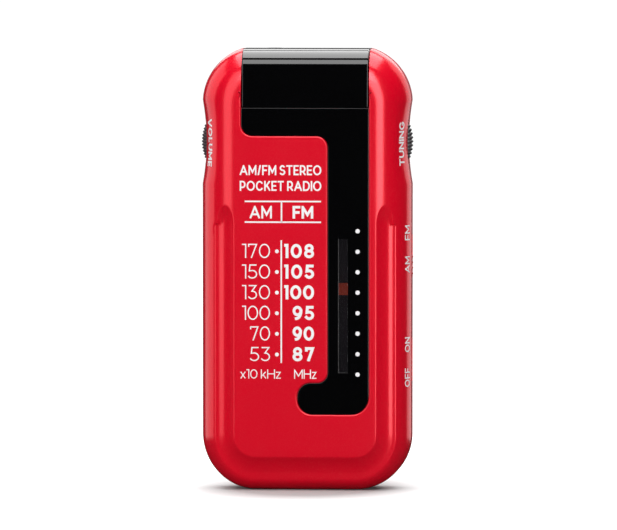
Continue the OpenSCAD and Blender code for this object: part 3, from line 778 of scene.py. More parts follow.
def solid_back(name):
    """The back half without its cavity, to carve the battery door from."""
    outline = case_outline()
    rings = [case_ring(outline, 0.0, 1, lambda d, z, nz: 0.0)]
    rings += [case_ring(outline, d, 1, back_depth) for d in rim_distances(False)]
    return loft(name, rings)


def wheel_and_knob_cutters(tag):
    """Solids that open the case for the wheels, the drum and the two knobs."""
    gap = 0.4 * MM
    y0, y1 = WHEEL_FRONT - gap, WHEEL_HIGH[1] + gap
    cutters = [disc("cut_wheel_%s" % tag, side * WHEEL_X, WHEEL_Z, WHEEL_R + gap, y0, y1, 160) for side in (-1, 1)]
    cutters.append(disc("cut_drum_%s" % tag, WHEEL_X, WHEEL_Z, 9.25 * MM, WHEEL_LOW[1] - gap, y0 + gap))
    for knob in ("band_knob", "power_knob"):
        low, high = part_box(knob)
        middle = (low[2] + high[2]) / 2
        neck = KNOB_NECK + 0.2 * MM
        cutters.append(block("cut_%s_%s" % (knob, tag),
                             (HALF_W - 2.8 * MM, low[1] - 0.2 * MM, middle - neck),
                             (HALF_W + MM, high[1] + 0.2 * MM, middle + neck + 5 * MM)))
    return cutters


def window_outline(inset):
    """Outline of the dial window, drawn in by a seam."""
    s = dial_sizes()
    half = WINDOW_HIGH[0]
    top, bottom = WINDOW_HIGH[2] - (0.02 * MM if inset else 0.0), WINDOW_LOW[2]
    foot = bottom + s.foot_h
    corners = [(-half + inset, top, 0.0), (-half + inset, s.block_bottom + inset, 3.0 * MM - inset),
               (s.column_left + inset, s.block_bottom + inset, 2.9 * MM + inset),
               (s.column_left + inset, foot - inset, 2.7 * MM + inset),
               (s.foot_left + inset, foot - inset, 3.5 * MM - inset),
               (s.foot_left + inset, bottom + inset, 4.0 * MM - inset),
               (half - inset, bottom + inset, 4.7 * MM - inset), (half - inset, top, 0.0)]
    return rounded(corners, 14)


def bevel_recess(piece):
    """Rounds the edge of the red panel round the window and beside the top cap."""
    s = dial_sizes()
    half = WINDOW_HIGH[0]
    with editing(piece):
        bm = bmesh.from_edit_mesh(piece.data)
        bm.select_mode = {"EDGE"}
        for element in (*bm.verts, *bm.edges, *bm.faces):
            element.select = False
        for edge in bm.edges:
            if len(edge.link_faces) != 2:
                continue
            a, b = edge.verts[0].co, edge.verts[1].co
            normals = [f.normal for f in edge.link_faces]
            walls = [n for n in normals if abs(n.y) < 0.05]
            fronts = [n for n in normals if n.y < -0.9]
            level = abs(a.y + HALF_D) < 0.01 * MM and abs(b.y + HALF_D) < 0.01 * MM
            near = max(abs(a.x), abs(b.x)) < half + 0.05 * MM
            if level and near and len(walls) == 1 and len(fronts) == 1:
                edge.select = True
        bmesh.update_edit_mesh(piece.data)
        bpy.ops.mesh.bevel(offset=s.lip, segments=4, profile=0.5)


class RADIO_OT_front_case(Operator):
    """Front half of the case, with its panel, ledge, thumb scoops and the recess for the window"""

    bl_idname = "radio.front_case"
    bl_label = "Front case"

    def execute(self, context):
        case = half_case("front_case", -1)
        depth = WINDOW_HIGH[1]
        half = WINDOW_HIGH[0]
        top = WINDOW_HIGH[2]
        gap = 0.2 * MM
        cutters = [
            block("cut_pocket", (-half - 0.2 * MM, -8.9 * MM, 14 * MM), (half + 0.2 * MM, -6.4 * MM, 98 * MM)),
            prism("cut_window", window_outline(0.0), -HALF_D - MM, depth),
            block("cut_slot", (STRIP_LOW[0] - gap, -HALF_D, STRIP_LOW[2] - gap),
                  (STRIP_HIGH[0] + gap, -6 * MM, STRIP_HIGH[2] + gap)),
            block("cut_cap", (-half, -HALF_D - MM, top - 0.02 * MM), (half, MM, BODY_H + 3 * MM)),
            block("cut_top", (-HALF_W, -HALF_D, BODY_H), (HALF_W, MM, BODY_H + 3 * MM)),
        ]
        cut(case, cutters + wheel_and_knob_cutters("front"))
        bevel_recess(case)
        face_outwards(case)
        smooth(case, 32)
        finish(case, "pearl_red", "body", "red_case", "front_shell")
        return {"FINISHED"}


class RADIO_OT_back_case(Operator):
    """Back half of the case, the battery tub and the lugs of the belt clip"""

    bl_idname = "radio.back_case"
    bl_label = "Back case"

    def execute(self, context):
        case = half_case("back_case", 1)
        half = WINDOW_HIGH[0]
        cap_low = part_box("rear_cap")[0][2]
        tub_low, tub_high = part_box("battery_contacts")
        side = 11.6 * MM
        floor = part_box("battery_cells")[0][1] - 0.25 * MM
        gap = 0.2 * MM
        inner = DOOR_LOW[1] - gap
        cutters = [
            block("cut_bay", (-side, floor, tub_low[2]), (side, HALF_D + MM, tub_high[2])),
            block("cut_door", (-DOOR_HALF - gap, inner, -MM), (DOOR_HALF + gap, HALF_D + MM, DOOR_HIGH[2] + gap)),
            block("cut_lip", (DOOR_LOW[0] - gap, inner, -MM),
                  (DOOR_HIGH[0] + gap, inner + 1.05 * MM, DOOR_HIGH[2] + gap)),
            block("cut_rear_cap", (-half, -MM, cap_low - 0.02 * MM), (half, HALF_D + MM, BODY_H + 3 * MM)),
            block("cut_back_top", (-HALF_W, -MM, BODY_H), (HALF_W, HALF_D, BODY_H + 3 * MM)),
        ]
        for x, z in screw_places():
            cutters.append(disc("cut_screw", x, z, 0.9 * MM, -MM, HALF_D + MM, 32))
            cutters.append(disc("cut_head", x, z, 1.85 * MM, 7.6 * MM, HALF_D + MM, 48))
        cut(case, cutters + wheel_and_knob_cutters("back"))
        face_outwards(case)
        smooth(case, 32)
        finish(case, "pearl_red", "body", "red_case", "back_shell")
        self.tub(side, floor, tub_low[2], tub_high[2], inner)
        self.lugs()
        self.bosses()
        return {"FINISHED"}

    def tub(self, side, floor, z0, z1, rim):
        wall = 1.0 * MM
        tub = block("battery_tub", (-side - wall, floor - wall, z0 - wall), (side + wall, rim - 0.02 * MM, z1 + wall))
        cut(tub, [block("cut_tub", (-side, floor, z0), (side, rim + MM, z1))])
        ribs = [block("tub_rib", (-0.35 * MM, floor - 0.1 * MM, z), (0.35 * MM, floor + 2.2 * MM, z + 1.2 * MM))
                for z in (18 * MM, 44 * MM)]
        combine(tub, ribs, "UNION")
        round_edges(tub, 0.15 * MM, 2)
        smooth(tub)
        finish(tub, "bay_red", "body", "red_case", "back_shell")

    def lugs(self):
        y, z, radius = PIN_Y, PIN_Z, 1.7 * MM
        outline = [(HALF_D - 0.3 * MM, z - radius - 0.9 * MM), (HALF_D, z - radius - 0.9 * MM)]
        outline += [(y + radius * math.cos(a), z + radius * math.sin(a))
                    for a in (math.pi * (i / 24 - 0.5) for i in range(25))]
        outline += [(HALF_D, z + radius + 0.9 * MM), (HALF_D - 0.3 * MM, z + radius + 0.9 * MM)]
        pair = [side_prism("clip_lug", outline, x, x + 1.8 * MM) for x in (-4.4 * MM, 2.6 * MM)]
        lugs = join(pair[0], pair[1:])
        lugs.name = "clip_lugs"
        cut(lugs, [rod_x("cut_lug", y, z, 1.0 * MM, -6 * MM, 6 * MM)])
        round_edges(lugs, 0.18 * MM, 2)
        smooth(lugs)
        finish(lugs, "pearl_red", "body", "red_case", "back_shell")

    def bosses(self):
        tubes = []
        for x, z in screw_places():
            outer = 2.3 * MM
            y_end = 7.2 * MM if z > 50 * MM else 8.9 * MM
            tubes.append(lathe("screw_boss", [(-7.2 * MM, 0.9 * MM), (-7.2 * MM, outer - 0.2 * MM), (-7 * MM, outer),
                                              (y_end, outer), (y_end, 0.9 * MM), (-7.2 * MM, 0.9 * MM)],
                               (x, 0, z), "Y", 40))
        bosses = join(tubes[0], tubes[1:])
        bosses.name = "screw_bosses"
        smooth(bosses)
        finish(bosses, "bay_red", "body", "red_case", "front_shell", "back_shell")


def screw_places():
    low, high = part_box("case_screws")
    head = 1.7 * MM
    lower_x = 18 * MM
    return [(s * (high[0] - head), high[2] - head) for s in (-1, 1)] + [(s * lower_x, low[2] + head) for s in (-1, 1)]


class RADIO_OT_top_cap(Operator):
    """Gloss black top cap: front and rear halves with a fine seam between them"""

    bl_idname = "radio.top_cap"
    bl_label = "Top cap"

    def execute(self, context):
        for name, side in (("front_cap", -1), ("rear_cap", 1)):
            self.cap(name, side, *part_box(name))
        return {"FINISHED"}

    def cap(self, name, side, low, high):
        seam = 0.05 * MM
        half = high[0] - 0.05 * MM
        front = HALF_D - 0.1 * MM
        edge = 4.6 * MM
        wall = 1.6 * MM
        sag = 0.55 * MM
        bottom = low[2] + seam
        shoulder = BODY_H - edge
        centre_y = front - sag - edge

        def arc(radius, steps, first):
            return [(centre_y + radius * math.cos(a), shoulder + radius * math.sin(a))
                    for a in (math.pi / 2 * i / steps for i in range(first, steps + 1))]

        outer = [(front - sag * (i / 8) * (i / 8), bottom + (shoulder - bottom) * i / 8) for i in range(9)]
        inner = [(seam, BODY_H - wall)] + arc(edge - wall, 12, 0)[::-1] + [(front - wall, bottom)]
        outline = [(side * y, z) for y, z in outer + arc(edge, 16, 1) + [(seam, BODY_H)] + inner]
        piece = side_prism(name + "_shell", outline, -half, half)
        if side > 0:
            jack_low, jack_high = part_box("headphone_jack")
            x = (jack_low[0] + jack_high[0]) / 2
            cut(piece, [cylinder("cut_jack", (x, 4.2 * MM, BODY_H), 3.05 * MM, 8 * MM, (0, 0, 0), 64)])
        round_edges(piece, 0.35 * MM, 4, 50)
        smooth(piece, 30)
        finish(piece, "gloss_black", "body", "black_gloss", name)


class RADIO_OT_dial_window(Operator):
    """Flat gloss black window and the smoked strip over the pointer"""

    bl_idname = "radio.dial_window"
    bl_label = "Dial window"

    def execute(self, context):
        s = dial_sizes()
        window = prism("window_pane", window_outline(s.seam), WINDOW_LOW[1], WINDOW_HIGH[1])
        cut(window, [block("cut_strip", (STRIP_LOW[0], -HALF_D - MM, STRIP_LOW[2]),
                           (STRIP_HIGH[0], -HALF_D + 3 * MM, STRIP_HIGH[2]))])
        round_edges(window, 0.1 * MM, 2, 60)
        smooth(window, 30)
        finish(window, "gloss_black", "body", "black_gloss", "dial_window")
        tiny = 0.01 * MM
        strip = block("smoked_lens", (STRIP_LOW[0] + tiny, STRIP_LOW[1], STRIP_LOW[2] + tiny),
                      (STRIP_HIGH[0] - tiny, STRIP_HIGH[1], STRIP_HIGH[2] - tiny))
        round_edges(strip, 0.06 * MM, 2, 60)
        smooth(strip, 30)
        finish(strip, "smoke", "body", "smoked_strip", "window_strip")
        return {"FINISHED"}


# ---- Prints ----


def bow(cx, cy, rx, ry, first, last):
    """Points of an elliptical arc, with its angles in degrees."""
    steps = max(4, int(abs(last - first) / 12))
    return [(cx + rx * math.cos(math.radians(first + (last - first) * i / steps)),
             cy + ry * math.sin(math.radians(first + (last - first) * i / steps))) for i in range(steps + 1)]


# Each letter: its width against its height, and the middle lines of its strokes.
LETTERS = {
    "A": (0.98, [[(0, 0), (0.5, 1), (1, 0)], [(0.2, 0.3), (0.8, 0.3)]]),
    "M": (1.00, [[(0, 0), (0, 1), (0.5, 0.26), (1, 1), (1, 0)]]),
    "F": (0.66, [[(0, 0), (0, 1), (1, 1)], [(0, 0.48), (0.86, 0.48)]]),
    "S": (0.72, [bow(0.5, 0.75, 0.48, 0.25, 38, 270) + bow(0.5, 0.25, 0.5, 0.25, 90, -142)]),
    "T": (0.78, [[(0, 1), (1, 1)], [(0.5, 1), (0.5, 0)]]),
    "E": (0.66, [[(1, 1), (0, 1), (0, 0), (1, 0)], [(0, 0.5), (0.86, 0.5)]]),
    "R": (0.76, [[(0, 0), (0, 1), (0.52, 1)] + bow(0.52, 0.67, 0.44, 0.33, 90, -90) + [(0, 0.34)],
                 [(0.52, 0.34), (0.98, 0)]]),
    "O": (1.04, [bow(0.5, 0.5, 0.5, 0.5, 0, 360)]),
    "P": (0.74, [[(0, 0), (0, 1), (0.52, 1)] + bow(0.52, 0.66, 0.48, 0.34, 90, -90) + [(0, 0.32)]]),
    "C": (0.92, [bow(0.52, 0.5, 0.52, 0.5, 42, 318)]),
    "K": (0.78, [[(0, 0), (0, 1)], [(0.94, 1), (0, 0.3)], [(0.36, 0.58), (1, 0)]]),
    "D": (0.88, [[(0, 0), (0, 1), (0.42, 1)] + bow(0.42, 0.5, 0.58, 0.5, 90, -90) + [(0, 0)]]),
    "I": (0.14, [[(0.5, 0), (0.5, 1)]]),
    "V": (0.94, [[(0, 1), (0.5, 0), (1, 1)]]),
    "L": (0.62, [[(0, 1), (0, 0), (1, 0)]]),
    "U": (0.84, [[(0, 1), (0, 0.42)] + bow(0.5, 0.42, 0.5, 0.42, 180, 360) + [(1, 1)]]),
    "N": (0.86, [[(0, 0), (0, 1), (1, 0), (1, 1)]]),
    "G": (0.96, [bow(0.5, 0.5, 0.5, 0.5, 45, 330) + [(0.95, 0.46), (0.66, 0.46)]]),
    "H": (0.84, [[(0, 0), (0, 1)], [(1, 0), (1, 1)], [(0, 0.52), (1, 0.52)]]),
    "k": (0.58, [[(0, 0), (0, 1)], [(0.9, 0.72), (0, 0.2)], [(0.36, 0.42), (1, 0)]]),
    "x": (0.54, [[(0, 0), (1, 0.72)], [(0, 0.72), (1, 0)]]),
    "z": (0.52, [[(0, 0.72), (1, 0.72), (0, 0), (1, 0)]]),
    "/": (0.46, [[(0, -0.1), (1, 1.1)]]),
    " ": (0.16, []),
    "0": (0.78, [bow(0.5, 0.5, 0.5, 0.5, 0, 360)]),
    "1": (0.30, [[(0, 1), (1, 1), (1, 0)]]),
    "3": (0.62, [[(0.06, 1), (0.92, 1), (0.42, 0.58)] + bow(0.45, 0.29, 0.55, 0.29, 80, -145)]),
    "5": (0.64, [[(0.92, 1), (0.16, 1), (0.08, 0.55)] + bow(0.45, 0.29, 0.55, 0.29, 95, -145)]),
    "7": (0.64, [[(0, 0.86), (0, 1), (1, 1), (0.36, 0)]]),
    "8": (0.70, [bow(0.5, 0.75, 0.43, 0.25, 0, 360), bow(0.5, 0.26, 0.5, 0.26, 0, 360)]),
    "9": (0.70, [bow(0.48, 0.67, 0.48, 0.33, 0, 360), bow(0.3, 0.66, 0.68, 0.66, 3, -88)]),
}


def ribbon(line, weight, thick):
    """One stroke: a flat closed bar of even width along its middle line, with mitred corners."""
    closed = math.dist(line[0], line[-1]) < 1e-7
    path = [Vector(p) for p in line[:-1]] if closed else [Vector(p) for p in line]
    path = [p for i, p in enumerate(path) if i == 0 or (p - path[i - 1]).length > 1e-7]
    count = len(path)
    if not closed:
        path[0] = path[0] + (path[0] - path[1]).normalized() * weight / 2
        path[-1] = path[-1] + (path[-1] - path[-2]).normalized() * weight / 2
    points, faces = [], []
    for i, here in enumerate(path):
        before = (here - path[i - 1]).normalized() if closed or i else (path[1] - here).normalized()
        after = (path[(i + 1) % count] - here).normalized() if closed or i < count - 1 else before
        side = Vector((-before.y - after.y, before.x + after.x))
        side = side.normalized() if side.length > 1e-6 else Vector((-before.y, before.x))
        reach = weight / 2 / max(0.25, side.dot(Vector((-before.y, before.x))))
        for sign in (1, -1):
            place = here + side * reach * sign
            points.append((place.x, -thick, place.y))
            points.append((place.x, thick, place.y))
    for i in range(count if closed else count - 1):
        a, b = 4 * i, 4 * ((i + 1) % count)
        faces += [(a, b, b + 2, a + 2), (a + 1, a + 3, b + 3, b + 1), (a, a + 1, b + 1, b),
                  (a + 2, b + 2, b + 3, a + 3)]
    if not closed:
        b = 4 * (count - 1)
        faces += [(0, 2, 3, 1), (b, b + 1, b + 3, b + 2)]
    return mesh_piece("stroke", points, faces)


def word_solid(text, height, weight, width):
    """A word as one thin solid in X and Z, from x = 0 to its width, from z = 0 to its height."""
    thick = dial_sizes().print_t
    shares = [LETTERS[c][0] for c in text]
    total, gaps = sum(shares), max(1, len(text) - 1)
    gap = (width / height - total) / gaps
    narrow = 1.0
    if gap < 0.1 and len(text) > 1:
        gap = 0.1
        narrow = (width / height - gap * gaps) / total
    stroke = weight * height
    left = 0.0
    parts = []
    for c, share in zip(text, shares):
        span = share * narrow * height
        for line in LETTERS[c][1]:
            parts.append(ribbon([(left + stroke / 2 + u * (span - stroke), stroke / 2 + v * (height - stroke))
                                 for u, v in line], stroke, thick))
        left += span + gap * height
    word = join(parts[0], parts[1:])
    face_outwards(word)
    frame_box = block("word_box", (-height, -2 * thick, 0), (width + height, 2 * thick, height))
    add_modifier(word, "BOOLEAN", object=frame_box, operation="INTERSECT", solver="EXACT", use_self=True)
    apply_modifiers(word)
    bpy.data.objects.remove(frame_box)
    face_outwards(word)
    return word


def front_word(text, name, x, z, height, weight, width):
    """Prints a word on the front panel, with its left lower corner at x and z."""
    word = word_solid(text, height, weight, width)
    for v in word.data.vertices:
        v.co = Vector((v.co.x + x, v.co.y - HALF_D, v.co.z + z))
    word.name = name
    return finish(word, "ink", "body", "black_gloss")


def ink_bar(name, x0, z0, x1, z1):
    s = dial_sizes()
    bar = block(name, (x0, -HALF_D - s.print_t, z0), (x1, -HALF_D + s.print_t, z1))
    return finish(bar, "ink", "body", "black_gloss")


def ink_dot(name, x, z, diameter, surface):
    dot = disc(name, x, z, diameter / 2, surface - dial_sizes().print_t, surface + dial_sizes().print_t, 28)
    return finish(dot, "ink", "body", "black_gloss")


def flank_place(turn, along, side):
    """A point on the flank of the case: turn is the angle from the flank to the front, in radians."""
    s = case_sizes()
    d = s.rim * (1 - math.cos(turn))
    x = HALF_W - d - scoop_at(along, d)
    y = -dome(d, s.rim, s.flank_flat, HALF_D)
    return Vector((side * x, y, along))


def flank_word(text, name, side, middle_z, turn, height, run, weight):
    """Wraps a word round a flank, with the tops of its letters towards the front."""
    word = word_solid(text, height, weight, run)
    with editing(word):
        for i in range(1, 8):
            bpy.ops.mesh.select_all(action="SELECT")
            bpy.ops.mesh.bisect(plane_co=(0, 0, height * i / 8), plane_no=(0, 0, 1))
    s = case_sizes()
    radius = (s.rim + HALF_D - s.flank_flat) / 2
    for v in word.data.vertices:
        angle = turn + (v.co.z - height / 2) / radius
        along = middle_z + side * (v.co.x - run / 2)
        here = flank_place(angle, along, side)
        ahead = flank_place(angle + 0.02, along, side) - flank_place(angle - 0.02, along, side)
        out = Vector((side * abs(ahead.y), -abs(ahead.x), 0)).normalized()
        v.co = here + out * (0.03 * MM - v.co.y)
    word.name = name
    face_outwards(word)
    return finish(word, "ink", "body", "black_gloss")


class RADIO_OT_prints(Operator):
    """White prints: dial figures, rules, dots and the words beside the controls"""

    bl_idname = "radio.prints"
    bl_label = "Prints"

    def execute(self, context):
        self.headings()
        self.dial()
        self.flanks()
        return {"FINISHED"}

    def headings(self):
        left, right = -17.0 * MM, 4.3 * MM
        for text, name, z in (("AM/FM STEREO", "print_stereo", 82.35), ("POCKET RADIO", "print_pocket", 78.25)):
            front_word(text, name, left, z * MM, 2.6 * MM, 0.155, right - left)
        for name, z in (("rule_upper", 75.5), ("rule_lower", 70.1)):
            ink_bar(name, -15.7 * MM, (z - 0.2) * MM, 4.2 * MM, (z + 0.2) * MM)
        ink_bar("rule_divider", -6.3 * MM, 70.1 * MM, -5.9 * MM, 75.5 * MM)
        front_word("AM", "print_band_am", -14.4 * MM, 71.05 * MM, 3.3 * MM, 0.15, 5.8 * MM)
        front_word("FM", "print_band_fm", -3.2 * MM, 71.05 * MM, 3.3 * MM, 0.2, 5.4 * MM)

    def dial(self):
        s = dial_sizes()
        rows = [("170", "108"), ("150", "105"), ("130", "100"), ("100", "95"), ("70", "90"), ("53", "87")]
        first, pitch = 62.6 * MM, 5.38 * MM
        for i, (am, fm) in enumerate(rows):
            middle = first - pitch * i
            base = middle - s.figure_h / 2
            span = (7.3 if len(am) == 3 else 5.2) * MM
            front_word(am, "figures_am_%d" % i, -9.1 * MM - span, base, s.figure_h, 0.085, span)
            wide = len(fm) == 3
            front_word(fm, "figures_fm_%d" % i, (-5.4 if wide else -3.2) * MM, base, s.figure_h, 0.2,
                       (7.8 if wide else 5.6) * MM)
            ink_dot("dot_row_%d" % i, -7.3 * MM, middle - 0.1 * MM, 1.0 * MM, -HALF_D)
        ink_bar("rule_scale", -6.35 * MM, 33.4 * MM, -5.97 * MM, 65.4 * MM)
        front_word("x10 kHz", "print_khz", -16.8 * MM, 29.3 * MM, 2.4 * MM, 0.1, 10.5 * MM)
        front_word("MHz", "print_mhz", -2.8 * MM, 29.3 * MM, 2.4 * MM, 0.11, 5.8 * MM)
        for i in range(8):
            ink_dot("dot_scale_%d" % i, 13.75 * MM, (67.8 - 5.34 * i) * MM, s.dot, WINDOW_LOW[1])

    def flanks(self):
        flank_word("VOLUME", "print_volume", -1, 90.6 * MM, 0.60, 2.6 * MM, 12.4 * MM, 0.18)
        flank_word("TUNING", "print_tuning", 1, 90.5 * MM, 0.60, 2.6 * MM, 11.5 * MM, 0.17)
        for text, z, run in (("FM", 67.2, 3.9), ("AM", 58.9, 4.3), ("ON", 38.0, 3.9), ("OFF", 29.4, 4.9)):
            flank_word(text, "print_%s_side" % text.lower(), 1, z * MM, 0.44, 2.5 * MM, run * MM, 0.13)


# ---- Wheels, knobs and dial gear ----


def toothed_rim(name, x, teeth, depth, y0, y1):
    """Thumbwheel disc with rounded teeth, a bevelled rim and a dished front."""
    per_tooth = 6
    wheel = disc(name, x, WHEEL_Z, WHEEL_R, y0, y1, teeth * per_tooth)
    with editing(wheel):
        bpy.ops.mesh.select_all(action="DESELECT")
        bm = bmesh.from_edit_mesh(wheel.data)
        for face in bm.faces:
            face.select = abs(face.normal.y) > 0.9
        bmesh.update_edit_mesh(wheel.data)
        for width, sink in ((0.3, 0.0), (1.6, 0.0), (0.3, -0.5)):
            bpy.ops.mesh.inset(thickness=width * MM, depth=sink * MM)
    for v in wheel.data.vertices:
        dx, dz = v.co.x - x, v.co.z - WHEEL_Z
        r = math.hypot(dx, dz)
        if r < WHEEL_R - 0.6 * MM:
            continue
        phase = (math.atan2(dz, dx) * teeth / (2 * math.pi)) % 1.0
        valley = depth * (0.5 - 0.5 * math.cos(2 * math.pi * phase)) ** 1.6
        new_r = r - valley
        if r > WHEEL_R - 0.05 * MM:
            edge = 0.22 * MM
            v.co.y += edge if v.co.y < (y0 + y1) / 2 else -edge
        else:
            new_r = min(r, WHEEL_R - 0.3 * MM) - 0.6 * valley
        v.co.x = x + dx * new_r / r
        v.co.z = WHEEL_Z + dz * new_r / r
    return wheel


class RADIO_OT_wheels(Operator):
    """Tuning wheel with its cord drum, and the volume wheel"""

    bl_idname = "radio.wheels"
    bl_label = "Thumbwheels"

    def execute(self, context):
        y0, y1 = WHEEL_FRONT, WHEEL_HIGH[1]
        cord_low, cord_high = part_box("dial_cord")
        cord_y = (cord_low[1] + cord_high[1]) / 2
        drum_r = cord_high[2] - WHEEL_Z - 0.25 * MM
        floor_r, flange_r = drum_r - 0.4 * MM, drum_r + 0.35 * MM
        wheel = toothed_rim("tuning_thumbwheel", WHEEL_X, 72, 0.42 * MM, y0, y1)
        front = WHEEL_LOW[1]
        profile = [(front, 2.3 * MM), (front, flange_r - 0.1 * MM), (front + 0.1 * MM, flange_r),
                   (cord_y - 0.5 * MM, flange_r), (cord_y - 0.4 * MM, floor_r), (cord_y + 0.4 * MM, floor_r),
                   (cord_y + 0.5 * MM, flange_r), (y0 + 0.1 * MM, flange_r), (y0 + 0.1 * MM, 2.3 * MM),
                   (front, 2.3 * MM)]
        drum = lathe("drum", profile, (WHEEL_X, 0, WHEEL_Z), "Y", 96)
        spring_low, spring_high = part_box("cord_spring")
        cut(drum, [block("cut_pocket_drum", (spring_low[0] - 0.4 * MM, front - MM, spring_low[2] - 0.3 * MM),
                         (spring_high[0] + 0.4 * MM, y0 - 0.4 * MM, spring_high[2] + 0.3 * MM))])
        join(wheel, [drum])
        smooth(wheel, 40)
        finish(wheel, "wheel", "tuning", "wheel_black", "tuning_wheel")
        wheel = toothed_rim("volume_thumbwheel", -WHEEL_X, 88, 0.34 * MM, y0, y1)
        smooth(wheel, 40)
        finish(wheel, "wheel", "volume", "wheel_black", "volume_wheel")
        return {"FINISHED"}


class RADIO_OT_knobs(Operator):
    """Ridged slide knobs for the band and for the power"""

    bl_idname = "radio.knobs"
    bl_label = "Slide knobs"

    def execute(self, context):
        self.knob("band_slider", "band_knob", "band")
        self.knob("power_slider", "power_knob", "power")
        return {"FINISHED"}

    def knob(self, name, cad_node, body):
        low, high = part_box(cad_node)
        middle = (low[2] + high[2]) / 2
        neck, ridge, ridges = KNOB_NECK, 0.55 * MM, 4
        top = high[0]
        wall = case_sizes().wall
        plate_x0, plate_x1 = HALF_W - wall - 1.4 * MM, HALF_W - wall - 0.3 * MM
        outline = [(plate_x0, low[2]), (plate_x1, low[2]), (plate_x1, middle - neck)]
        steps = 64
        for i in range(steps + 1):
            t = i / steps
            wave = 0.5 - 0.5 * math.cos(2 * math.pi * ridges * t)
            outline.append((top - ridge + ridge * wave ** 0.7, middle - neck + 2 * neck * t))
        outline += [(plate_x1, middle + neck), (plate_x1, high[2]), (plate_x0, high[2])]
        knob = prism(name, outline, low[1], high[1])
        stem = block("stem", (low[0], low[1] + MM, middle - MM), (plate_x0 + 0.05 * MM, high[1] - MM, middle + MM))
        join(knob, [stem])
        round_edges(knob, 0.14 * MM, 3, 60)
        smooth(knob, 40)
        finish(knob, "red_knob", body, "red_knob", cad_node)


# ---- Back of the radio ----


class RADIO_OT_battery_door(Operator):
    """Sliding battery door, carved from the same rounded back, with a ribbed thumb grip"""

    bl_idname = "radio.battery_door"
    bl_label = "Battery door"

    def execute(self, context):
        door = solid_back("battery_cover")
        gap = 0.02 * MM
        body = block("door_body", (-DOOR_HALF, DOOR_LOW[1], DOOR_LOW[2]),
                     (DOOR_HALF, HALF_D + MM, DOOR_HIGH[2] - gap))
        combine(door, [body], "INTERSECT")
        grips = [DOOR_HIGH[2] - 6 * MM - i * 1.6 * MM for i in range(6)]
        cut(door, [block("grip_groove", (-5 * MM, HALF_D - 0.4 * MM, z), (5 * MM, HALF_D + MM, z + 0.8 * MM))
                   for z in grips])
        lip = block("door_lip", (DOOR_LOW[0], DOOR_LOW[1], 10 * MM),
                    (DOOR_HIGH[0], DOOR_LOW[1] + 0.65 * MM, DOOR_HIGH[2] - gap))
        combine(door, [lip], "UNION")
        face_outwards(door)
        smooth(door, 32)
        finish(door, "pearl_red", "door", "red_case", "battery_door")
        return {"FINISHED"}


class RADIO_OT_belt_clip(Operator):
    """Sprung belt clip with a bowed blade, a hooked tip and a ribbed thumb pad"""

    bl_idname = "radio.belt_clip"
    bl_label = "Belt clip"

    def execute(self, context):
        half = CLIP_HIGH[0]
        y1 = CLIP_HIGH[1]
        blade = 1.6 * MM
        y0 = y1 - blade
        tip_in = CLIP_LOW[1]
        low, high = CLIP_LOW[2], CLIP_HIGH[2]
        corners = [(y0, high, 0.5 * MM), (y0, low + 2.4 * MM, 0.7 * MM), (tip_in, low + 2.4 * MM, 0.8 * MM),
                   (tip_in, low, 0.8 * MM), (y1, low, 1.2 * MM), (y1, high, 0.6 * MM)]
        body = side_prism("belt_clip_blade", rounded(corners, 6), -half, half)
        reach = half - 1.5 * MM
        cut(body, [block("pad_groove", (-reach, y1 - 0.4 * MM, z), (reach, y1 + MM, z + 0.6 * MM))
                   for z in (PIN_Z + MM + i * 1.3 * MM for i in range(4))])
        cheeks = []
        for x0 in (-half, 4.7 * MM):
            outline = [(PIN_Y + 1.9 * MM * math.cos(a), PIN_Z + 1.9 * MM * math.sin(a))
                       for a in (math.pi * (0.5 + i / 24) for i in range(25))]
            outline += [(y0 + 0.1 * MM, PIN_Z - 1.9 * MM), (y0 + 0.1 * MM, PIN_Z + 1.9 * MM)]
            cheeks.append(side_prism("cheek", outline, x0, x0 + half - 4.7 * MM))
        combine(body, cheeks, "UNION")
        cut(body, [rod_x("cut_pin", PIN_Y, PIN_Z, 1.05 * MM, -half - MM, half + MM)])
        round_edges(body, 0.25 * MM, 3, 50)
        smooth(body, 35)
        finish(body, "clip", "clip", "matte_black", "belt_clip")
        return {"FINISHED"}


class RADIO_OT_cells(Operator):
    """Two cells with sleeves, crimped ends and nubs"""

    bl_idname = "radio.cells"
    bl_label = "Battery cells"

    def execute(self, context):
        low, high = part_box("battery_cells")
        r = (high[1] - low[1]) / 2
        y = (high[1] + low[1]) / 2
        nub = 1.2 * MM
        total = 44.5 * MM
        cells = (("cell_left", low[0] + r, high[2] - total, 1), ("cell_right", high[0] - r, low[2], -1))
        for name, x, base, up in cells:
            end = total - nub
            ends = [(0, 0), (0, 3.4 * MM), (0.15 * MM, 3.6 * MM), (0.2 * MM, r - 0.9 * MM)]
            sleeve = [(0.2 * MM, r - 0.9 * MM), (0, r - 0.6 * MM), (0.25 * MM, r - 0.08 * MM), (0.6 * MM, r),
                      (end - 0.6 * MM, r), (end - 0.2 * MM, r - 0.1 * MM), (end, r - 0.5 * MM),
                      (end - 0.15 * MM, r - 1.1 * MM)]
            cap = [(end - 0.15 * MM, r - 1.1 * MM), (end - 0.1 * MM, 2.4 * MM), (end, 2.0 * MM),
                   (total - 0.3 * MM, 1.9 * MM), (total, 1.6 * MM), (total, 0)]
            profile = ends + sleeve[1:] + cap[1:]
            if up < 0:
                profile = [(total - a, b) for a, b in profile]
            cell = lathe(name, profile, (x, y, base), "Z", 56)
            smooth(cell, 30)
            finish(cell, "cell", "body", "cell_sleeve", "battery_cells")
            cell.data.materials.append(material_of("steel"))
            for face in cell.data.polygons:
                if math.hypot(face.center.x - x, face.center.y - y) < r - 0.95 * MM:
                    face.material_index = 1
        return {"FINISHED"}


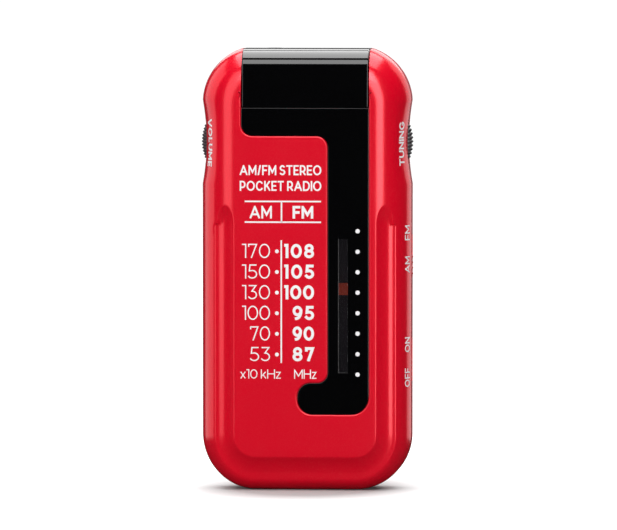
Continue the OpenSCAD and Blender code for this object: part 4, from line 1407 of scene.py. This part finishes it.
class RADIO_OT_works(Operator):
    """Finishes for the pieces of the works that keep their own shape"""

    bl_idname = "radio.works"
    bl_label = "Works"

    def execute(self, context):
        finishes = {
            "steel": ("pointer_rail", "idler_pin", "tuning_screw", "volume_screw", "cord_spring", "band_switch",
                      "power_switch", "board_screws", "battery_springs", "battery_contacts", "clip_pin",
                      "clip_spring", "case_screws"),
            "chassis": ("dial_chassis",),
            "pointer": ("dial_pointer",),
            "cord": ("dial_cord",),
            "nylon": ("cord_idler", "tuning_capacitor", "rod_holders"),
            "brass": ("tuning_spindle", "volume_spindle"),
            "board": ("volume_control", "circuit_board"),
            "matte_black": ("radio_chip", "headphone_jack"),
            "can": ("if_transformers",),
            "sleeve": ("board_capacitors",),
            "ferrite": ("ferrite_rod",),
            "wire": ("antenna_coil",),
        }
        for name, nodes in finishes.items():
            for cad_node in nodes:
                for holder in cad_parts[cad_node].material_slots:
                    holder.material = material_of(name)
        return {"FINISHED"}


# ---- Stage ----


def area_light(name, place, target, size, glow):
    """Rectangle of even light, unseen by the camera. Its glow is its brightness, whatever its size."""
    light = bpy.data.lights.new(name, "AREA")
    light.shape = "RECTANGLE"
    light.size, light.size_y = size
    light.energy = glow * math.pi * size[0] * size[1]
    lamp = bpy.data.objects.new(name, light)
    bpy.context.collection.objects.link(lamp)
    lamp.location = place
    lamp.rotation_euler = (Vector(target) - Vector(place)).to_track_quat("-Z", "Y").to_euler()
    lamp.visible_camera = False


def paper(name, tone):
    """Pale studio paper that glows more and more away from the radio, so that it stays dim close round it: a painted
    shadow round the radio's base. Only the camera sees the glow.
    """
    material, tree, shader = new_material(name, Roughness=0.9)
    grain = grain_of(tree, 900.0, 6.0)
    tint(tree, shader, grain.outputs["Fine"], darker((tone,) * 3, 0.99), (tone,) * 3)
    shader.inputs["Emission Color"].default_value = (1, 1, 1, 1)
    place = node(tree, "ShaderNodeTexCoord")
    # Painted shadow: the glow grows with the distance from the radio, squeezed across, so the paper stays dim round
    # its base.
    shadow_squeeze = node(tree, "ShaderNodeVectorMath", operation="MULTIPLY")
    shadow_squeeze.inputs[1].default_value = (1.4, 1.0, 1.0)
    away = node(tree, "ShaderNodeVectorMath", operation="LENGTH")
    glow = node(tree, "ShaderNodeMapRange",
                inputs={"From Min": 26 * MM, "From Max": 62 * MM, "To Min": 0.02, "To Max": 1.1})
    path = node(tree, "ShaderNodeLightPath")
    seen = node(tree, "ShaderNodeMath", operation="MULTIPLY")
    tree.links.new(place.outputs["Object"], shadow_squeeze.inputs[0])
    tree.links.new(shadow_squeeze.outputs["Vector"], away.inputs[0])
    tree.links.new(away.outputs["Value"], glow.inputs["Value"])
    tree.links.new(path.outputs["Is Camera Ray"], seen.inputs[0])
    tree.links.new(glow.outputs["Result"], seen.inputs[1])
    tree.links.new(seen.outputs["Value"], shader.inputs["Emission Strength"])
    return material


class RADIO_OT_stage(Operator):
    """Pale floor with a painted shadow round the radio, bright surroundings, soft lights and the camera"""

    bl_idname = "radio.stage"
    bl_label = "Stage"

    def execute(self, context):
        scene = bpy.context.scene
        scene.view_settings.view_transform = "Standard"
        world = bpy.data.worlds.new("studio")
        scene.world = world
        world.use_nodes = True
        background = world.node_tree.nodes["Background"]
        background.inputs[0].default_value = (1, 1, 1, 1)
        path = node(world.node_tree, "ShaderNodeLightPath")
        bright = node(world.node_tree, "ShaderNodeMath", operation="MULTIPLY_ADD")
        seen_glow, cast_glow = 1.04, 0.01
        bright.inputs[1].default_value = seen_glow
        bright.inputs[2].default_value = cast_glow
        world.node_tree.links.new(path.outputs["Is Camera Ray"], bright.inputs[0])
        world.node_tree.links.new(bright.outputs["Value"], background.inputs[1])
        deselect()
        bpy.ops.mesh.primitive_plane_add(size=1, location=(0, 0, 0))
        floor = bpy.context.object
        floor.name = "floor"
        floor.scale = (3.4, 3.4, 1)
        settle(floor)
        floor.data.materials.append(paper("floor_paper_painted_shadow", 0.38))
        floor.visible_glossy = False
        self.lights()
        self.camera(scene)
        return {"FINISHED"}

    def lights(self):
        # each panel: its place, what it faces, its size and its glow
        panels = {
            "overhead": ((0.0, 0.12, 0.9), (0.0, 0.12, 0.0), (1.0, 1.1), 4.2),
            "front_fill": ((0.0, -0.85, 0.68), (0.0, 0.0, 0.06), (0.9, 0.5), 2.8),
            "left_front": ((-0.46, -0.77, 0.34), (0.0, 0.0, 0.06), (0.42, 0.85), 1.6),
            "right_front": ((0.25, -0.86, 0.34), (0.0, 0.0, 0.06), (0.32, 0.85), 4.0),
            "left_side": ((-0.77, 0.22, 0.30), (0.0, 0.0, 0.06), (0.85, 0.85), 1.0),
            "right_side": ((0.52, 0.61, 0.30), (0.0, 0.0, 0.06), (0.55, 0.85), 0.9),
            "rear": ((0.0, 0.95, 0.62), (0.0, 0.0, 0.62), (0.9, 0.6), 1.9),
            "horizon": ((0.0, 0.95, 0.16), (0.0, 0.0, 0.16), (0.9, 0.3), 0.13),
        }
        for name, values in panels.items():
            area_light(name, *values)

    def camera(self, scene):
        data = bpy.data.cameras.new("camera")
        camera = bpy.data.objects.new("camera", data)
        bpy.context.collection.objects.link(camera)
        azimuth, elevation = math.radians(4.0), math.radians(3.0)
        distance, frame_width = 2.6, 0.161265
        data.sensor_width = 36.0
        data.lens = distance * data.sensor_width / frame_width
        data.clip_start = 0.1
        target = Vector((0.0, 0.0, 58.6 * MM))
        offset = Vector((math.sin(azimuth) * math.cos(elevation), -math.cos(azimuth) * math.cos(elevation),
                         math.sin(elevation)))
        camera.location = target + offset * distance
        camera.rotation_euler = (-offset).to_track_quat("-Z", "Y").to_euler()
        data.shift_x, data.shift_y = 0.0011345, -0.0012966
        scene.camera = camera


class RADIO_PT_builder(Panel):
    """Buttons for the pieces, in the order in which they are made"""

    bl_idname = "RADIO_PT_builder"
    bl_label = "Pocket radio"
    bl_space_type = "VIEW_3D"
    bl_region_type = "UI"
    bl_category = "Radio"

    def draw(self, context):
        for operator in OPERATORS:
            self.layout.operator(operator.bl_idname)


OPERATORS = (RADIO_OT_stage, RADIO_OT_front_case, RADIO_OT_back_case, RADIO_OT_top_cap, RADIO_OT_dial_window,
             RADIO_OT_prints, RADIO_OT_wheels, RADIO_OT_knobs, RADIO_OT_battery_door, RADIO_OT_belt_clip,
             RADIO_OT_cells, RADIO_OT_works)
CLASSES = (CaseSizes, DialSizes, FinishColours) + OPERATORS + (RADIO_PT_builder,)


def register():
    for cls in CLASSES:
        bpy.utils.register_class(cls)
    bpy.types.Scene.radio_case = PointerProperty(type=CaseSizes)
    bpy.types.Scene.radio_dial = PointerProperty(type=DialSizes)
    bpy.types.Scene.radio_colours = PointerProperty(type=FinishColours)


def unregister():
    del bpy.types.Scene.radio_colours
    del bpy.types.Scene.radio_dial
    del bpy.types.Scene.radio_case
    for cls in reversed(CLASSES):
        bpy.utils.unregister_class(cls)


def main():
    register()
    for name in ("stage", "front_case", "back_case", "top_cap", "dial_window", "prints", "wheels", "knobs",
                 "battery_door", "belt_clip", "cells", "works"):
        getattr(bpy.ops.radio, name)()


if __name__ == "__main__":
    main()
